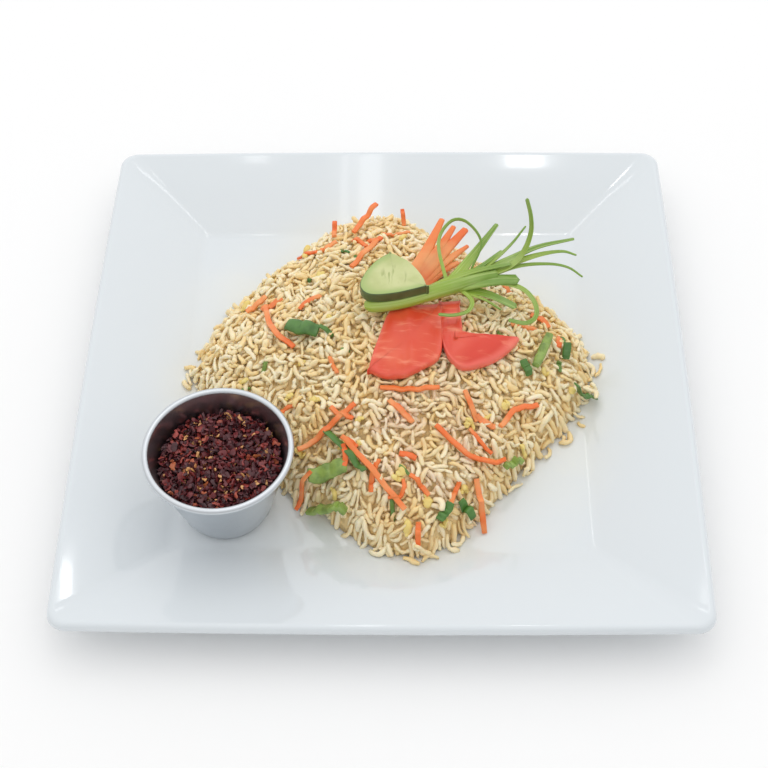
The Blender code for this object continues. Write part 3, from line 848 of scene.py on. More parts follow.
def grain_meshes(grains, rng):
    """Arrays for all the grains: points and faces, with a tone and a place along for each point."""
    paths = np.array([path for path, _ in grains])
    thick = np.array([size for _, size in grains])
    along = np.linspace(-0.90, 0.90, GRAIN_STEPS)
    fat_end = rng.uniform(-0.16, 0.16, (len(grains), 1))
    blunt = rng.uniform(3.0, 6.0, (len(grains), 1))
    swell = (1.0 - np.abs(along) ** blunt) ** 0.5 * (1.0 + fat_end * along)
    wobble = 1.0 + rng.normal(0.0, 0.13, (len(grains), GRAIN_STEPS))
    flat = rng.uniform(0.55, 0.90, (len(grains), 1))
    wide = 0.5 * thick[:, None] * (0.25 + 0.75 * swell) * wobble * 1.04
    roll = rng.uniform(0.0, math.pi, len(grains))
    points, quads, triangles, cells, each = sweep(paths, wide, wide * flat, roll, GRAIN_SIDES, 0.9, 0.6)
    points = points + rng.normal(0.0, 0.09, points.shape)
    tone = np.repeat(rng.random(len(grains)), each)
    lengthwise = np.tile(np.append(np.repeat(np.abs(along), GRAIN_SIDES), (1.0, 1.0)), len(grains))
    return points, quads, triangles, cells, {"tone": tone, "end": lengthwise}


def rice_paint(name, pale, golden, shift):
    paint = Paint(name)
    tone = paint.value("tone")
    end = paint.value("end")
    patch = paint.spread(paint.noise(42.0, 2.0), 0.36, 0.64)
    share = paint.spread(0.62 * tone + 0.38 * patch + shift, 0.12, 0.92)
    body = paint.mix(share, pale, golden)
    germ = paint.spread(end, 0.72, 1.0, 0.0, 0.45) * paint.spread(tone, 0.3, 0.8)
    body = paint.mix(germ, body, srgb(214, 190, 132))
    near = 1.0 - paint.spread(paint.away(16.0, -58.0), 0.012, 0.048)
    blush = near * paint.spread(paint.noise(70.0, 2.0), 0.35, 0.65)
    body = paint.mix(blush * 0.75, body, srgb(242, 214, 188))
    cloudy = paint.noise(420.0, 2.0)
    rough = 0.34 + 0.22 * cloudy
    soften(paint, 0.2, (1.0, 0.72, 0.40), 0.0025)
    return paint.finish(base_color=body, roughness=rough, specular_ior_level=0.45,
                        normal=paint.bump(cloudy, 0.10, 0.0004))


def core_painted_shade(golden):
    paint = Paint("rice_core_paint")
    grainy = paint.noise(330.0, 3.0)
    # Painted shade: the core is a darker tan than the grains, 0.66 to 0.92 of the golden grain, standing
    # in for the shade in the hollows between grains.
    body = paint.mix(paint.spread(grainy, 0.35, 0.65), tuple(0.66 * value for value in golden),
                     tuple(0.92 * value for value in golden))
    return paint.finish(base_color=body, roughness=0.6, normal=paint.bump(grainy, 0.7, 0.002))


CORE_ANGLES = 300
CORE_RINGS = 90
CORE_SINK = 1.8
CORE_UNDER = 2.7
# plan distances at which the core's edge is looked for, in millimetres
CORE_NEAR, CORE_FAR, CORE_PACE = 40.0, 130.0, 0.5


def build_core(heap, golden):
    """A solid under the grains whose upper face fills the hollows between them, with painted shade in its
    darker colour.
    """
    low, high = corners("rice_heap")
    x, y = (low.x + high.x) / 2, (low.y + high.y) / 2
    floor = plate_top(heap.bed.xs, heap.bed.ys)
    top = np.minimum(blurred(heap.bed.heights, 2) - CORE_SINK, heap.smooth_goal - CORE_UNDER)
    top = np.maximum(top, floor + 0.5)
    turn = math.tau * np.arange(CORE_ANGLES) / CORE_ANGLES
    reach = np.arange(CORE_NEAR, CORE_FAR, CORE_PACE)
    rays = heap.bed.cell(x + reach[:, None] * np.cos(turn), y + reach[:, None] * np.sin(turn))
    edge = CORE_NEAR + CORE_PACE * np.sum(heap.inside.ravel()[rays], axis=0) - 0.6
    rings = []
    for share in (0.4, 0.9, 0.99):
        px, py = x + share * edge * np.cos(turn), y + share * edge * np.sin(turn)
        rings.append(np.column_stack([px, py, plate_top(px, py) + 0.4]))
    for share in np.linspace(1.0, 0.02, CORE_RINGS):
        px, py = x + share * edge * np.cos(turn), y + share * edge * np.sin(turn)
        rings.append(np.column_stack([px, py, top.ravel()[heap.bed.cell(px, py)]]))
    points, quads, triangles = loft(rings)
    return new_piece("rice_core", points, quads, triangles, core_painted_shade(golden), outward=True)


# ---------------------------------------------------------------- strips of vegetable in the rice

STRIP_STEPS = 18
SHREDS = 15
LEAVES = 11
PALE_LEAVES = (3, 4, 5, 7)
THICK_LEAVES = (1, 3, 4, 5)
# small things among the grains: how many, length, width and thickness in millimetres
EXTRA_SHREDS = (34, (7.0, 15.0), (1.8, 3.2), 1.4)
EXTRA_GREENS = (14, (3.0, 8.0), (1.4, 3.0), 0.8)
EGG_CRUMBS = (40, (3.0, 7.0), (2.0, 4.0), 1.6)


def middle_line(node):
    """Line along the middle of a strip's CAD node, and the strip's width."""
    points = np.array([vert.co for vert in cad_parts[node].data.vertices]) / MM
    centre = points[:, :2].mean(axis=0)
    flat = points[:, :2] - centre
    _, _, axes = np.linalg.svd(flat, full_matrices=False)
    along, aside = flat @ axes[0], flat @ axes[1]
    bins = max(3, min(5, int((along.max() - along.min()) / 6.0)))
    cuts = np.linspace(along.min(), along.max(), bins + 1)
    line, widths = [], []
    for i in range(bins):
        here = (along >= cuts[i] - 2.5) & (along <= cuts[i + 1] + 2.5)
        spot = centre + axes[0] * (cuts[i] + cuts[i + 1]) / 2 + axes[1] * aside[here].mean()
        line.append((*spot, points[here, 2].mean()))
        widths.append(aside[here].max() - aside[here].min())
    line = np.array(line)
    first, last = line[0] - (line[1] - line[0]) / 2, line[-1] + (line[-1] - line[-2]) / 2
    return curve_through(np.concatenate([[first], line, [last]]), STRIP_STEPS), min(widths)


class Strips:
    """Strips of one kind laid into a heap."""

    def __init__(self, heap):
        self.heap = heap
        self.paths, self.sizes, self.tones, self.rolls = [], [], [], []

    def lay(self, line, width, thick, tone, softness=0.7, sink=0.0):
        bed = self.heap.bed
        path = np.array(line, dtype=float)
        outside = self.heap.goal.ravel()[bed.cell(path[:, 0], path[:, 1])]
        lift = np.clip(path[:, 2] - outside - 2.6, 0.0, 16.0)
        path[:, 2] = laid(bed, path, 0.5 * width, 0.5 * thick, softness,
                          self.heap.lean(path)) + lift - sink
        bed.raise_along(path, 0.5 * width, 0.5 * thick)
        self.paths.append(path)
        self.sizes.append((width, thick))
        self.tones.append(tone)
        self.rolls.append(self.heap.rng.normal(0.0, 0.18))

    def from_nodes(self, stem, count, widest, tone_of, thick_of):
        for number in range(1, count + 1):
            line, width = middle_line(f"{stem}_{number:02d}")
            self.lay(line, min(width, widest), thick_of(number), tone_of(number))

    def scatter(self, count, lengths, widths, thick, tones, crooked):
        """Lay short strips at random places on the heap."""
        rng, heap = self.heap.rng, self.heap
        spots = np.flatnonzero((heap.inside & (heap.goal > 18.0)).ravel())
        for spot in rng.choice(spots, size=count, replace=False):
            length = rng.uniform(*lengths)
            heading = rng.uniform(0.0, math.tau)
            bend = rng.normal(0.0, crooked)
            line, x, y = [], heap.bed.xs.ravel()[spot], heap.bed.ys.ravel()[spot]
            for _ in range(4):
                line.append((x, y, 0.0))
                x, y = x + length / 3 * math.cos(heading), y + length / 3 * math.sin(heading)
                heading += bend
            self.lay(curve_through(line, STRIP_STEPS), rng.uniform(*widths), thick, rng.uniform(*tones),
                     0.6, rng.uniform(0.7, 2.0))

    def build(self, name, slot, finish, nodes, squareness, ragged, pointed):
        rng = self.heap.rng
        count = len(self.paths)
        sizes = np.array(self.sizes)
        uneven = 1.0 + ragged * rng.normal(0.0, 1.0, (count, STRIP_STEPS))
        ends = (1.0 - pointed * np.abs(np.linspace(-0.97, 0.97, STRIP_STEPS)) ** 3.0)[None]
        smooth = ends * (uneven + np.roll(uneven, 1, 1) + np.roll(uneven, -1, 1)) / 3
        points, quads, triangles, cells, each = sweep(
            np.array(self.paths), 0.5 * sizes[:, :1] * smooth, 0.5 * sizes[:, 1:] * smooth,
            np.array(self.rolls), 10, squareness, 0.12)
        values = {"tone": np.repeat(self.tones, each)}
        piece = new_piece(name, points, quads, triangles, finish, values, cells)
        piece.data.set_sharp_from_angle(angle=math.radians(65))
        settle(piece, slot, *nodes)


def carrot_paint(name, colour):
    paint = Paint(name)
    fibre = paint.noise(160.0, 3.0)
    tone = paint.value("tone")
    deep = tuple(value * share for value, share in zip(colour, (0.96, 0.68, 0.50)))
    body = paint.mix(paint.spread(0.55 * fibre + 0.45 * tone, 0.25, 0.75), colour, deep)
    pale = paint.spread(paint.noise(60.0, 2.0), 0.45, 0.70, 0.0, 0.55)
    body = paint.mix(pale, body, srgb(247, 182, 120))
    soften(paint, 0.15, (1.0, 0.45, 0.15), 0.002)
    return paint.finish(base_color=body, roughness=0.30 + 0.22 * paint.noise(240.0, 2.0),
                        normal=paint.bump(fibre, 0.15, 0.0004))


def leaf_paint(colour):
    paint = Paint("cooked_leaf")
    vein = paint.noise(190.0, 3.0)
    body = paint.mix(paint.value("tone"), colour, srgb(160, 184, 92))
    body = paint.mix(paint.spread(vein, 0.3, 0.8, 0.0, 0.6), body, tuple(0.4 * value for value in colour))
    soften(paint, 0.1, (0.5, 1.0, 0.2), 0.0015)
    return paint.finish(base_color=body, roughness=0.24 + 0.25 * vein,
                        normal=paint.bump(vein, 0.25, 0.0005))


def egg_paint():
    paint = Paint("egg_crumb")
    patch = paint.noise(260.0, 3.0)
    body = paint.mix(patch, srgb(244, 226, 150), srgb(228, 196, 98))
    soften(paint, 0.12, (1.0, 0.8, 0.3), 0.002)
    return paint.finish(base_color=body, roughness=0.4 + 0.2 * patch,
                        normal=paint.bump(patch, 0.3, 0.0005))


class RICE_OT_heap(bpy.types.Operator):
    """Build the rice with the strips, greens and crumbs that lie among its grains"""
    bl_idname = "fried_rice.heap"
    bl_label = "Fried rice"

    def execute(self, context):
        sizes = context.scene.rice_grains
        colours = context.scene.rice_garnish
        heap = Heap()
        rng = heap.rng
        heap.fill(2.8, MOST_GRAINS, 0.5)
        eggs, shreds, leaves = Strips(heap), Strips(heap), Strips(heap)
        eggs.scatter(*EGG_CRUMBS, (0.0, 1.0), 0.5)
        leaves.from_nodes("leaf_strip", LEAVES, 8.5,
                          lambda number: 0.85 if number in PALE_LEAVES else 0.1,
                          lambda number: 3.0 if number in THICK_LEAVES else 1.1)
        shreds.from_nodes("carrot_shred", SHREDS, 2.9, lambda number: rng.random(), lambda number: 1.5)
        shreds.scatter(*EXTRA_SHREDS, (0.0, 1.0), 0.25)
        leaves.scatter(*EXTRA_GREENS, (0.0, 0.7), 0.4)
        heap.fill(0.3, MOST_GRAINS, 0.8)
        heap.scatter_top(TOP_GRAINS)
        heap.scatter_foot(LOOSE_GRAINS)
        shreds.build("carrot_shreds", "carrot", carrot_paint("carrot_shred_paint", tuple(colours.carrot)),
                     [f"carrot_shred_{n:02d}" for n in range(1, SHREDS + 1)], 0.35, 0.05, 0.15)
        leaves.build("leaf_strips", "leaf", leaf_paint(tuple(colours.leaf)),
                     [f"leaf_strip_{n:02d}" for n in range(1, LEAVES + 1)], 0.7, 0.05, 0.18)
        eggs.build("egg_crumbs", "rice", egg_paint(), [], 0.8, 0.30, 0.6)
        core = build_core(heap, tuple(sizes.golden))
        settle(core, "rice", "rice_heap")
        self.build_grains(heap, sizes)
        return {"FINISHED"}

    def build_grains(self, heap, sizes):
        """Share the grains out between three kinds, one piece each."""
        order = heap.rng.permutation(len(heap.grains))
        for number, (name, shift) in enumerate(GRAIN_KINDS):
            chosen = [heap.grains[i] for i in order[number::len(GRAIN_KINDS)]]
            points, quads, triangles, cells, values = grain_meshes(chosen, heap.rng)
            finish = rice_paint(f"{name}_paint", tuple(sizes.pale), tuple(sizes.golden), shift)
            piece = new_piece(name, points, quads, triangles, finish, values, cells)
            settle(piece, "rice")


# ---------------------------------------------------------------- chilli flakes

CHIP_STEPS = 5
CHIP_SIDES = 5
FLAKE_DEPTH = 4.0


class RICE_OT_flakes(bpy.types.Operator):
    """Build the fried chilli in the cup"""
    bl_idname = "fried_rice.flakes"
    bl_label = "Chilli flakes"

    def execute(self, context):
        rng = np.random.default_rng(SEED + 1)
        low, high = corners("chilli_flakes")
        x, y = (low.x + high.x) / 2, (low.y + high.y) / 2
        radius, level = (high.x - low.x) / 2 - 0.3, high.z - 1.6
        bed = Bed((x - radius, y - radius), (x + radius, y + radius), 0.4,
                  lambda xs, ys: np.full(xs.shape, level - FLAKE_DEPTH))
        away = np.hypot(bed.xs - x, bed.ys - y)
        lump = np.array([noise.noise(Vector((a, b, 5.0)) / 9.0)
                         for a, b in zip(bed.xs.ravel(), bed.ys.ravel())])
        goal = level + 1.5 * (0.5 - (away / radius) ** 2) + 1.6 * lump.reshape(away.shape)
        inside = away < radius - 1.2
        chips = []
        while len(chips) < 3800:
            need = np.where(inside, goal - bed.heights, 0.0).ravel()
            spots = np.flatnonzero(need > 0.7)
            if len(spots) < 30:
                break
            for spot in rng.choice(spots, size=min(60, len(spots)), replace=False):
                chips.append(self.lay_chip(bed, spot, rng))
        self.build_core(x, y, low, radius, level)
        self.build_chips(chips, rng, tuple(context.scene.rice_cup.chilli))
        return {"FINISHED"}

    def lay_chip(self, bed, spot, rng):
        seed = rng.random() < 0.08
        length = rng.uniform(1.4, 2.1) if seed else rng.uniform(1.2, 3.6)
        width = length * (rng.uniform(0.6, 0.85) if seed else rng.uniform(0.35, 0.9))
        thick = rng.uniform(0.5, 0.8) if seed else rng.uniform(0.45, 1.1)
        heading = rng.uniform(0.0, math.tau)
        along = np.linspace(-0.5, 0.5, CHIP_STEPS)
        aside = rng.normal(0.0, 0.25) * length * along * along * 4.0
        px = bed.xs.ravel()[spot] + along * length * math.cos(heading) - aside * math.sin(heading)
        py = bed.ys.ravel()[spot] + along * length * math.sin(heading) + aside * math.cos(heading)
        path = np.stack([px, py, np.zeros(CHIP_STEPS)], axis=1)
        path[:, 2] = laid(bed, path, 0.4 * width, 0.5 * thick, 0.4)
        path[:, 2] += rng.normal(0.0, 0.5) * np.linspace(-1.0, 1.0, CHIP_STEPS)
        bed.raise_along(path, 0.5 * width, 0.5 * thick + 0.1)
        return path, width, thick, seed

    def build_core(self, x, y, low, radius, level):
        floor = low.z
        foot = bpy.context.scene.rice_cup.foot_radius / MM - 4.5
        rings = []
        for share, z in ((0.4, floor), (1.0, floor), (None, level - FLAKE_DEPTH + 0.5)):
            reach = radius - 1.2 if share is None else foot * share
            rings.append([(x + reach * math.cos(math.tau * i / 48),
                           y + reach * math.sin(math.tau * i / 48), z)
                          for i in range(48)])
        points, quads, triangles = loft(rings)
        paint = Paint("chilli_core_paint")
        crumb = paint.noise(900.0, 3.0)
        finish = paint.finish(base_color=paint.mix(crumb, srgb(46, 14, 16), srgb(96, 30, 30)),
                              roughness=0.7,
                              normal=paint.bump(crumb, 0.6, 0.001))
        core = new_piece("chilli_core", points, quads, triangles, finish, outward=True)
        settle(core, "flakes", "chilli_flakes")

    def build_chips(self, chips, rng, colour):
        count = len(chips)
        paths = np.array([chip[0] for chip in chips])
        sizes = np.array([chip[1:3] for chip in chips])
        ragged = 1.0 + rng.uniform(-0.55, 0.35, (count, CHIP_STEPS))
        ragged[:, 0] *= 0.6
        ragged[:, -1] *= 0.6
        points, quads, triangles, cells, each = sweep(
            paths, 0.5 * sizes[:, :1] * ragged, 0.5 * sizes[:, 1:] * ragged, rng.normal(0.0, 0.5, count),
            CHIP_SIDES, 0.9, 0.4)
        points = points + rng.normal(0.0, 0.15, points.shape)
        kind = np.array([0.97 if chip[3] else min(0.9, abs(rng.normal(0.0, 0.31))) for chip in chips])
        chips_paint = chilli_paint(colour)
        piece = new_piece("chilli_chips", points, quads, triangles, chips_paint,
                          {"tone": np.repeat(kind, each)}, cells)
        piece.data.set_sharp_from_angle(angle=math.radians(40))
        settle(piece, "flakes")


def chilli_paint(colour):
    paint = Paint("fried_chilli")
    tone = paint.value("tone")
    speck = paint.noise(700.0, 2.0)
    stops = [(0.0, srgb(58, 18, 26)), (0.30, colour), (0.60, srgb(160, 58, 48)),
             (0.84, srgb(200, 116, 68)),
             (0.97, srgb(224, 168, 106))]
    body = paint.node("ShaderNodeValToRGB", {"stops": stops}, {"Fac": tone + 0.22 * speck - 0.11})
    return paint.finish(base_color=body, roughness=0.30 + 0.35 * speck, coat_weight=0.25,
                        coat_roughness=0.25, normal=paint.bump(speck, 0.3, 0.0004))


# ---------------------------------------------------------------- garnish

STALK = ((-9, 6, 61), (8, 9, 61), (28, 16, 61), (45, 23, 60.5), (55, 26, 60))
STALK_SIZE = (8.6, 7.6)
# route, width and thickness at the root, share of the width left at the tip, hollow of the upper face
STRANDS = (
    (((33, 20, 61), (45, 38, 63.5), (56, 52, 69)), (7.0, 2.2), 0.32, 0.25),
    (((31, 20, 61), (27, 47, 61), (33, 57, 66), (41, 53, 70), (48, 40, 69), (43, 27, 64)),
     (1.9, 1.1), 0.8, 0.1),
    (((42, 23, 61), (60, 29, 62.5), (68, 34, 67), (72, 40, 75), (72, 45, 82), (70, 51, 88)),
     (4.4, 1.5), 0.55, 0.2),
    (((44, 24, 61), (61, 39, 66), (70, 48, 72)), (2.8, 1.3), 0.35, 0.1),
    (((40, 22, 61), (60, 33, 63), (76, 41, 64.5), (94, 45, 66)), (5.6, 1.5), 0.30, 0.2),
    (((60, 31, 62.2), (76, 37, 63), (88, 39, 63.5), (95, 37, 63)), (4.6, 1.3), 0.25, 0.2),
    (((48, 24, 60.5), (66, 31, 61.5), (81, 33, 61), (91, 32, 59.5), (98, 28, 57)), (3.2, 1.3), 0.35, 0.1),
    (((36, 19, 60.5), (53, 22, 61), (65, 23, 60.5)), (7.8, 3.4), 0.80, 0.15),
    (((46, 22, 60), (60, 21, 60), (69, 18, 58.5), (74, 11, 56.5), (74, 4, 55), (69, 0, 55), (61, 1, 56)),
     (3.6, 1.2), 0.55, 0.15),
    (((38, 18, 59.5), (52, 16, 57), (64, 10, 55.5)), (5.4, 1.5), 0.75, 0.3),
    (((36, 17, 59.5), (49, 12, 58.5), (57, 6, 58)), (1.8, 1.1), 0.6, 0.0),
    (((38, 17, 60), (43, 10, 60), (41, 3, 60.5), (34, 0, 61), (27, 0, 61.5)), (2.4, 1.0), 0.9, 0.1),
    (((30, 17, 62), (46, 28, 63), (58, 38, 65)), (4.6, 1.4), 0.30, 0.2),
    (((20, 14, 62), (40, 24, 64), (62, 30, 64.5)), (5.0, 1.6), 0.45, 0.2),
)
CARROT_FINGERS = (
    (((12, 30, 52), (21, 49, 54), (29, 68, 57)), (8.6, 2.8), 0.34),
    (((14, 30, 52), (26, 48, 54), (35, 64, 56)), (8.4, 2.8), 0.30),
    (((16, 29, 52), (29, 47, 54), (41, 63, 55)), (8.4, 2.8), 0.42),
    (((17, 28, 52), (30, 42, 53), (42, 53, 53.5)), (8.0, 2.8), 0.22),
    (((18, 27, 52), (28, 37, 52), (37, 43, 52)), (8.0, 2.8), 0.30),
)
TOMATO_LEFT = ((3, 6), (14, 11), (28, 14), (28, 14), (28.6, 2), (28.8, -9), (27, -19), (20, -26),
               (11, -30.5),
               (0, -31.5), (-6.8, -28.6), (-6.8, -28.6), (-3.6, -14))
TOMATO_RIGHT = ((27.6, 14.5), (27.6, 14.5), (37, 15), (37, 15), (38.2, 0), (39.4, -4.4), (51, -5.2),
                (62, -4.4), (66, -4.6), (58, -14.5), (47, -21.5), (37, -23.5), (30.5, -17), (28.0, -5))
TOMATO_RIGHT_HEART = (34.0, -10.0)
TOMATO_THICK = 5.5
CUCUMBER = ((3, 35.5), (3, 35.5), (-4.5, 28.5), (-10, 18), (-11, 10), (-6, 5), (6, 6), (21, 11), (21, 11),
            (18.5, 19), (12, 29))
CUCUMBER_SKIN = (0.0, 1.0, 1.0, 1.0, 1.0, 1.0, 1.0, 1.0, 0.0, 0.0, 0.0)
CUCUMBER_THICK = 6.5
CUCUMBER_SINK = 2.0
CUCUMBER_NEAR = (5.0, 67.0)
CUCUMBER_FAR = (37.0, 63.0)


def strand(route, size, tip, hollow, sides, steps, squareness=1.0):
    """Rings of a leafy strand that keeps its flat side up, with its middle line and its heading at each
    step.
    """
    path = curve_through(route, steps)
    ahead = unit(np.gradient(path, axis=0))
    side = np.cross(ahead[0], (0.0, 0.0, 1.0))
    turn = math.tau * (np.arange(sides) + 0.5) / sides
    across = np.sign(np.cos(turn)) * np.abs(np.cos(turn)) ** squareness
    rise = np.sign(np.sin(turn)) * np.abs(np.sin(turn)) ** squareness
    rings, narrow = [], np.linspace(1.0, tip, steps)
    for spot, heading, share in zip(path, ahead, narrow):
        side = side - heading * np.dot(side, heading)
        side = side / np.linalg.norm(side)
        up = np.cross(side, heading)
        wide, high = 0.5 * size[0] * share, 0.5 * size[1] * math.sqrt(share)
        lift = high * rise + hollow * wide * (across * across - 0.5)
        rings.append(spot + side * (wide * across)[:, None] + up * lift[:, None])
    return np.array(rings), path, ahead


def bundle(strands, sides, steps, squareness=1.0):
    """One mesh of many strands, with shares along, across and up for the paint."""
    quads, triangles, _, _ = tube_faces(steps, sides)
    turn = math.tau * (np.arange(sides) + 0.5) / sides
    points, all_quads, all_triangles, along, across, over, tone = [], [], [], [], [], [], []
    for number, (route, size, tip, hollow) in enumerate(strands):
        rings, path, ahead = strand(route, size, tip, hollow, sides, steps, squareness)
        base = number * (steps * sides + 2)
        ends = [path[0] - ahead[0] * 0.4, path[-1] + ahead[-1] * 0.3 * size[0] * tip]
        points.append(np.concatenate([rings.reshape(-1, 3), ends]))
        all_quads.append(quads + base)
        all_triangles.append(triangles + base)
        along.append(np.append(np.repeat(np.linspace(0.0, 1.0, steps), sides), (0.0, 1.0)))
        across.append(np.append(np.tile(np.cos(turn), steps), (0.0, 0.0)))
        over.append(np.append(np.tile(np.sin(turn), steps), (0.0, 0.0)))
        tone.append(np.full(steps * sides + 2, (number * 0.37) % 1.0))
    values = {"along": np.concatenate(along), "across": np.concatenate(across),
              "over": np.concatenate(over), "tone": np.concatenate(tone)}
    return np.concatenate(points), np.concatenate(all_quads), np.concatenate(all_triangles), values


def closed_curve(points, steps):
    """Closed smooth curve, steps samples to each span."""
    knots = np.asarray(points, dtype=float)
    made = []
    for i in range(len(knots)):
        a, b, c, d = (knots[(i + k) % len(knots)] for k in (-1, 0, 1, 2))
        t = np.linspace(0.0, 1.0, steps, endpoint=False)[:, None]
        made.append(0.5 * (2 * b + (c - a) * t + (2 * a - 5 * b + 4 * c - d) * t ** 2
                           + (3 * b - 3 * c + d - a) * t ** 3))
    return np.concatenate(made)


def streak_paint(paint, fineness, stretch):
    """Noise drawn out along a strand."""
    vector = paint.node("ShaderNodeCombineXYZ", None,
                        {"X": paint.value("across") * fineness, "Y": paint.value("along") * stretch,
                         "Z": paint.value("tone") * 9.0 + paint.value("over")})
    return paint.noise(1.0, 3.0, 0.6, vector)


def scallion_paint(colour):
    paint = Paint("scallion_green")
    streak = streak_paint(paint, 4.0, 1.5)
    along = paint.value("along")
    dark = tuple(value * share for value, share in zip(colour, (0.42, 0.60, 0.50)))
    body = paint.mix(paint.spread(along + 0.5 * paint.value("tone"), 0.1, 1.2), colour, dark)
    body = paint.mix(paint.spread(streak, 0.42, 0.72, 0.0, 0.55), body, srgb(196, 214, 132))
    wax = paint.noise(55.0, 2.0)
    body = paint.mix(paint.spread(wax, 0.5, 0.75, 0.0, 0.35), body, srgb(176, 196, 130))
    soften(paint, 0.12, (0.6, 1.0, 0.3), 0.0015)
    return paint.finish(base_color=body, roughness=0.24 + 0.18 * wax,
                        normal=paint.bump(streak, 0.3, 0.0005))


class RICE_OT_scallion(bpy.types.Operator):
    """Build the scallion brush"""
    bl_idname = "fried_rice.scallion"
    bl_label = "Scallion brush"

    def execute(self, context):
        strands = [(STALK, STALK_SIZE, 0.9, 0.0), *STRANDS]
        points, quads, triangles, values = bundle(strands, 14, 40)
        self.round_end(points[:14 * 40], 14)
        _, high = corners("scallion_brush")
        points[:, 2] += high.z - points[:, 2].max()
        piece = new_piece("scallion", points, quads, triangles,
                          scallion_paint(tuple(context.scene.rice_garnish.scallion)), values)
        settle(piece, "scallion", "scallion_brush")
        return {"FINISHED"}

    def round_end(self, points, sides):
        """Draw in the first rings of the stalk to a blunt rounded end."""
        for ring, share in enumerate((0.45, 0.78, 0.93, 0.99)):
            rows = slice(ring * sides, (ring + 1) * sides)
            middle = points[rows].mean(axis=0)
            points[rows] = middle + share * (points[rows] - middle)


class RICE_OT_carrot(bpy.types.Operator):
    """Build the fan of carrot fingers"""
    bl_idname = "fried_rice.carrot"
    bl_label = "Carrot fan"

    def execute(self, context):
        fingers = [(route, size, tip, 0.0) for route, size, tip in CARROT_FINGERS]
        points, quads, triangles, values = bundle(fingers, 16, 26, 0.5)
        _, high = corners("carrot_brush")
        points[:, 2] += high.z - 2.0 - points[:, 2].max()
        piece = new_piece("carrot_fan", points, quads, triangles,
                          carrot_paint("carrot_fan_paint", tuple(context.scene.rice_garnish.carrot)),
                          values)
        settle(piece, "carrot", "carrot_brush")
        return {"FINISHED"}


def tomato_paint(name, colour, streak_turn, edge_pale):
    paint = Paint(name)
    fibre = paint.noise(1.0, 3.0, 0.55, paint.stretched((60.0, 260.0, 120.0), (0.0, 0.0, streak_turn)))
    broad = paint.noise(38.0, 2.0)
    cells = paint.noise(900.0, 2.0)
    deep = tuple(value * share for value, share in zip(colour, (0.92, 0.52, 0.50)))
    body = paint.mix(paint.spread(broad, 0.35, 0.65), colour, deep)
    body = paint.mix(paint.spread(fibre, 0.50, 0.74, 0.0, 0.6), body, srgb(250, 160, 124))
    body = paint.mix(paint.spread(paint.value("edge"), 0.80, 0.98, 0.0, edge_pale), body,
                     srgb(250, 128, 112))
    soften(paint, 0.2, (1.0, 0.30, 0.18), 0.0025)
    return paint.finish(base_color=body, roughness=0.20 + 0.20 * broad,
                        normal=paint.bump(0.7 * fibre + 0.3 * cells, 0.18, 0.0006))


class RICE_OT_tomato(bpy.types.Operator):
    """Build the two slices of tomato"""
    bl_idname = "fried_rice.tomato"
    bl_label = "Tomato slices"

    def execute(self, context):
        self.heap = tree_of("rice_heap")
        colour = tuple(context.scene.rice_garnish.tomato)
        middle = tuple(np.mean(TOMATO_LEFT, axis=0))
        redder = tuple(value * share for value, share in zip(colour, (0.98, 0.80, 1.05)))
        self.slice("tomato_slice", "tomato_left", TOMATO_LEFT, middle,
                   tomato_paint("tomato_flesh", colour, -1.2, 0.25))
        self.slice("tomato_petal", "tomato_right", TOMATO_RIGHT, TOMATO_RIGHT_HEART,
                   tomato_paint("tomato_petal_paint", redder, 0.4, 0.7))
        return {"FINISHED"}

    def ground(self, x, y):
        """Even height of the rice round a place."""
        spots = [(x + 5.0 * math.cos(math.tau * i / 8), y + 5.0 * math.sin(math.tau * i / 8))
                 for i in range(8)]
        return float(np.mean([top_of(self.heap, *spot) for spot in spots + [(x, y)]])) + 0.6

    def slice(self, name, node, outline, heart, finish):
        edge = closed_curve(outline, 8)
        heart = np.asarray(heart)
        rings, shares = [], []
        for share, rise in ((0.1, 0.0), (0.5, 0.0), (0.9, 0.0), (0.98, 0.12), (1.0, 0.40), (1.0, 0.62),
                            (0.99, 0.76),
                            (0.97, 0.84), (0.93, 0.88), (0.85, 0.92), (0.72, 0.97), (0.5, 1.02),
                            (0.3, 1.04),
                            (0.1, 1.04)):
            ring = []
            for spot in heart + share * (edge - heart):
                z = self.ground(*spot) + TOMATO_THICK * rise
                fold = noise.noise(Vector((spot[0] * 1.6, spot[1] * 0.5, 0.0)) / 9.0)
                ring.append((*spot, z + 1.1 * fold * min(1.0, 2.0 * rise)))
            rings.append(ring)
            shares.append(share)
        points, quads, triangles = loft(rings)
        edges = np.append(np.repeat(shares, len(edge)), (0.0, 0.0))
        piece = new_piece(name, points, quads, triangles, finish, {"edge": edges}, outward=True)
        settle(piece, "tomato", node)


def cucumber_paint(colour):
    paint = Paint("cucumber_slice_paint")
    skin = paint.value("skin")
    depth = paint.value("edge")
    watery = paint.noise(70.0, 3.0)
    body = paint.mix(paint.spread(watery, 0.35, 0.7), colour, srgb(206, 210, 152))
    body = paint.mix(paint.spread(depth, 0.62, 1.0, 0.0, 0.75) * skin, body, srgb(150, 178, 96))
    seeds = paint.noise(1.0, 2.0, 0.5, paint.stretched((520.0, 90.0, 100.0), (0.0, 0.0, -0.9)))
    inner = 1.0 - paint.spread(depth, 0.30, 0.62)
    body = paint.mix(paint.spread(seeds, 0.54, 0.66, 0.0, 0.7) * inner, body, srgb(150, 162, 92))
    rind = paint.mix(paint.noise(160.0, 3.0), srgb(46, 72, 38), srgb(104, 124, 76))
    body = paint.mix(paint.spread(paint.value("wall"), 0.35, 0.6) * skin, body, rind)
    soften(paint, 0.15, (0.7, 1.0, 0.4), 0.0025)
    return paint.finish(base_color=body, roughness=0.22 + 0.22 * watery,
                        normal=paint.bump(watery, 0.15, 0.0006))


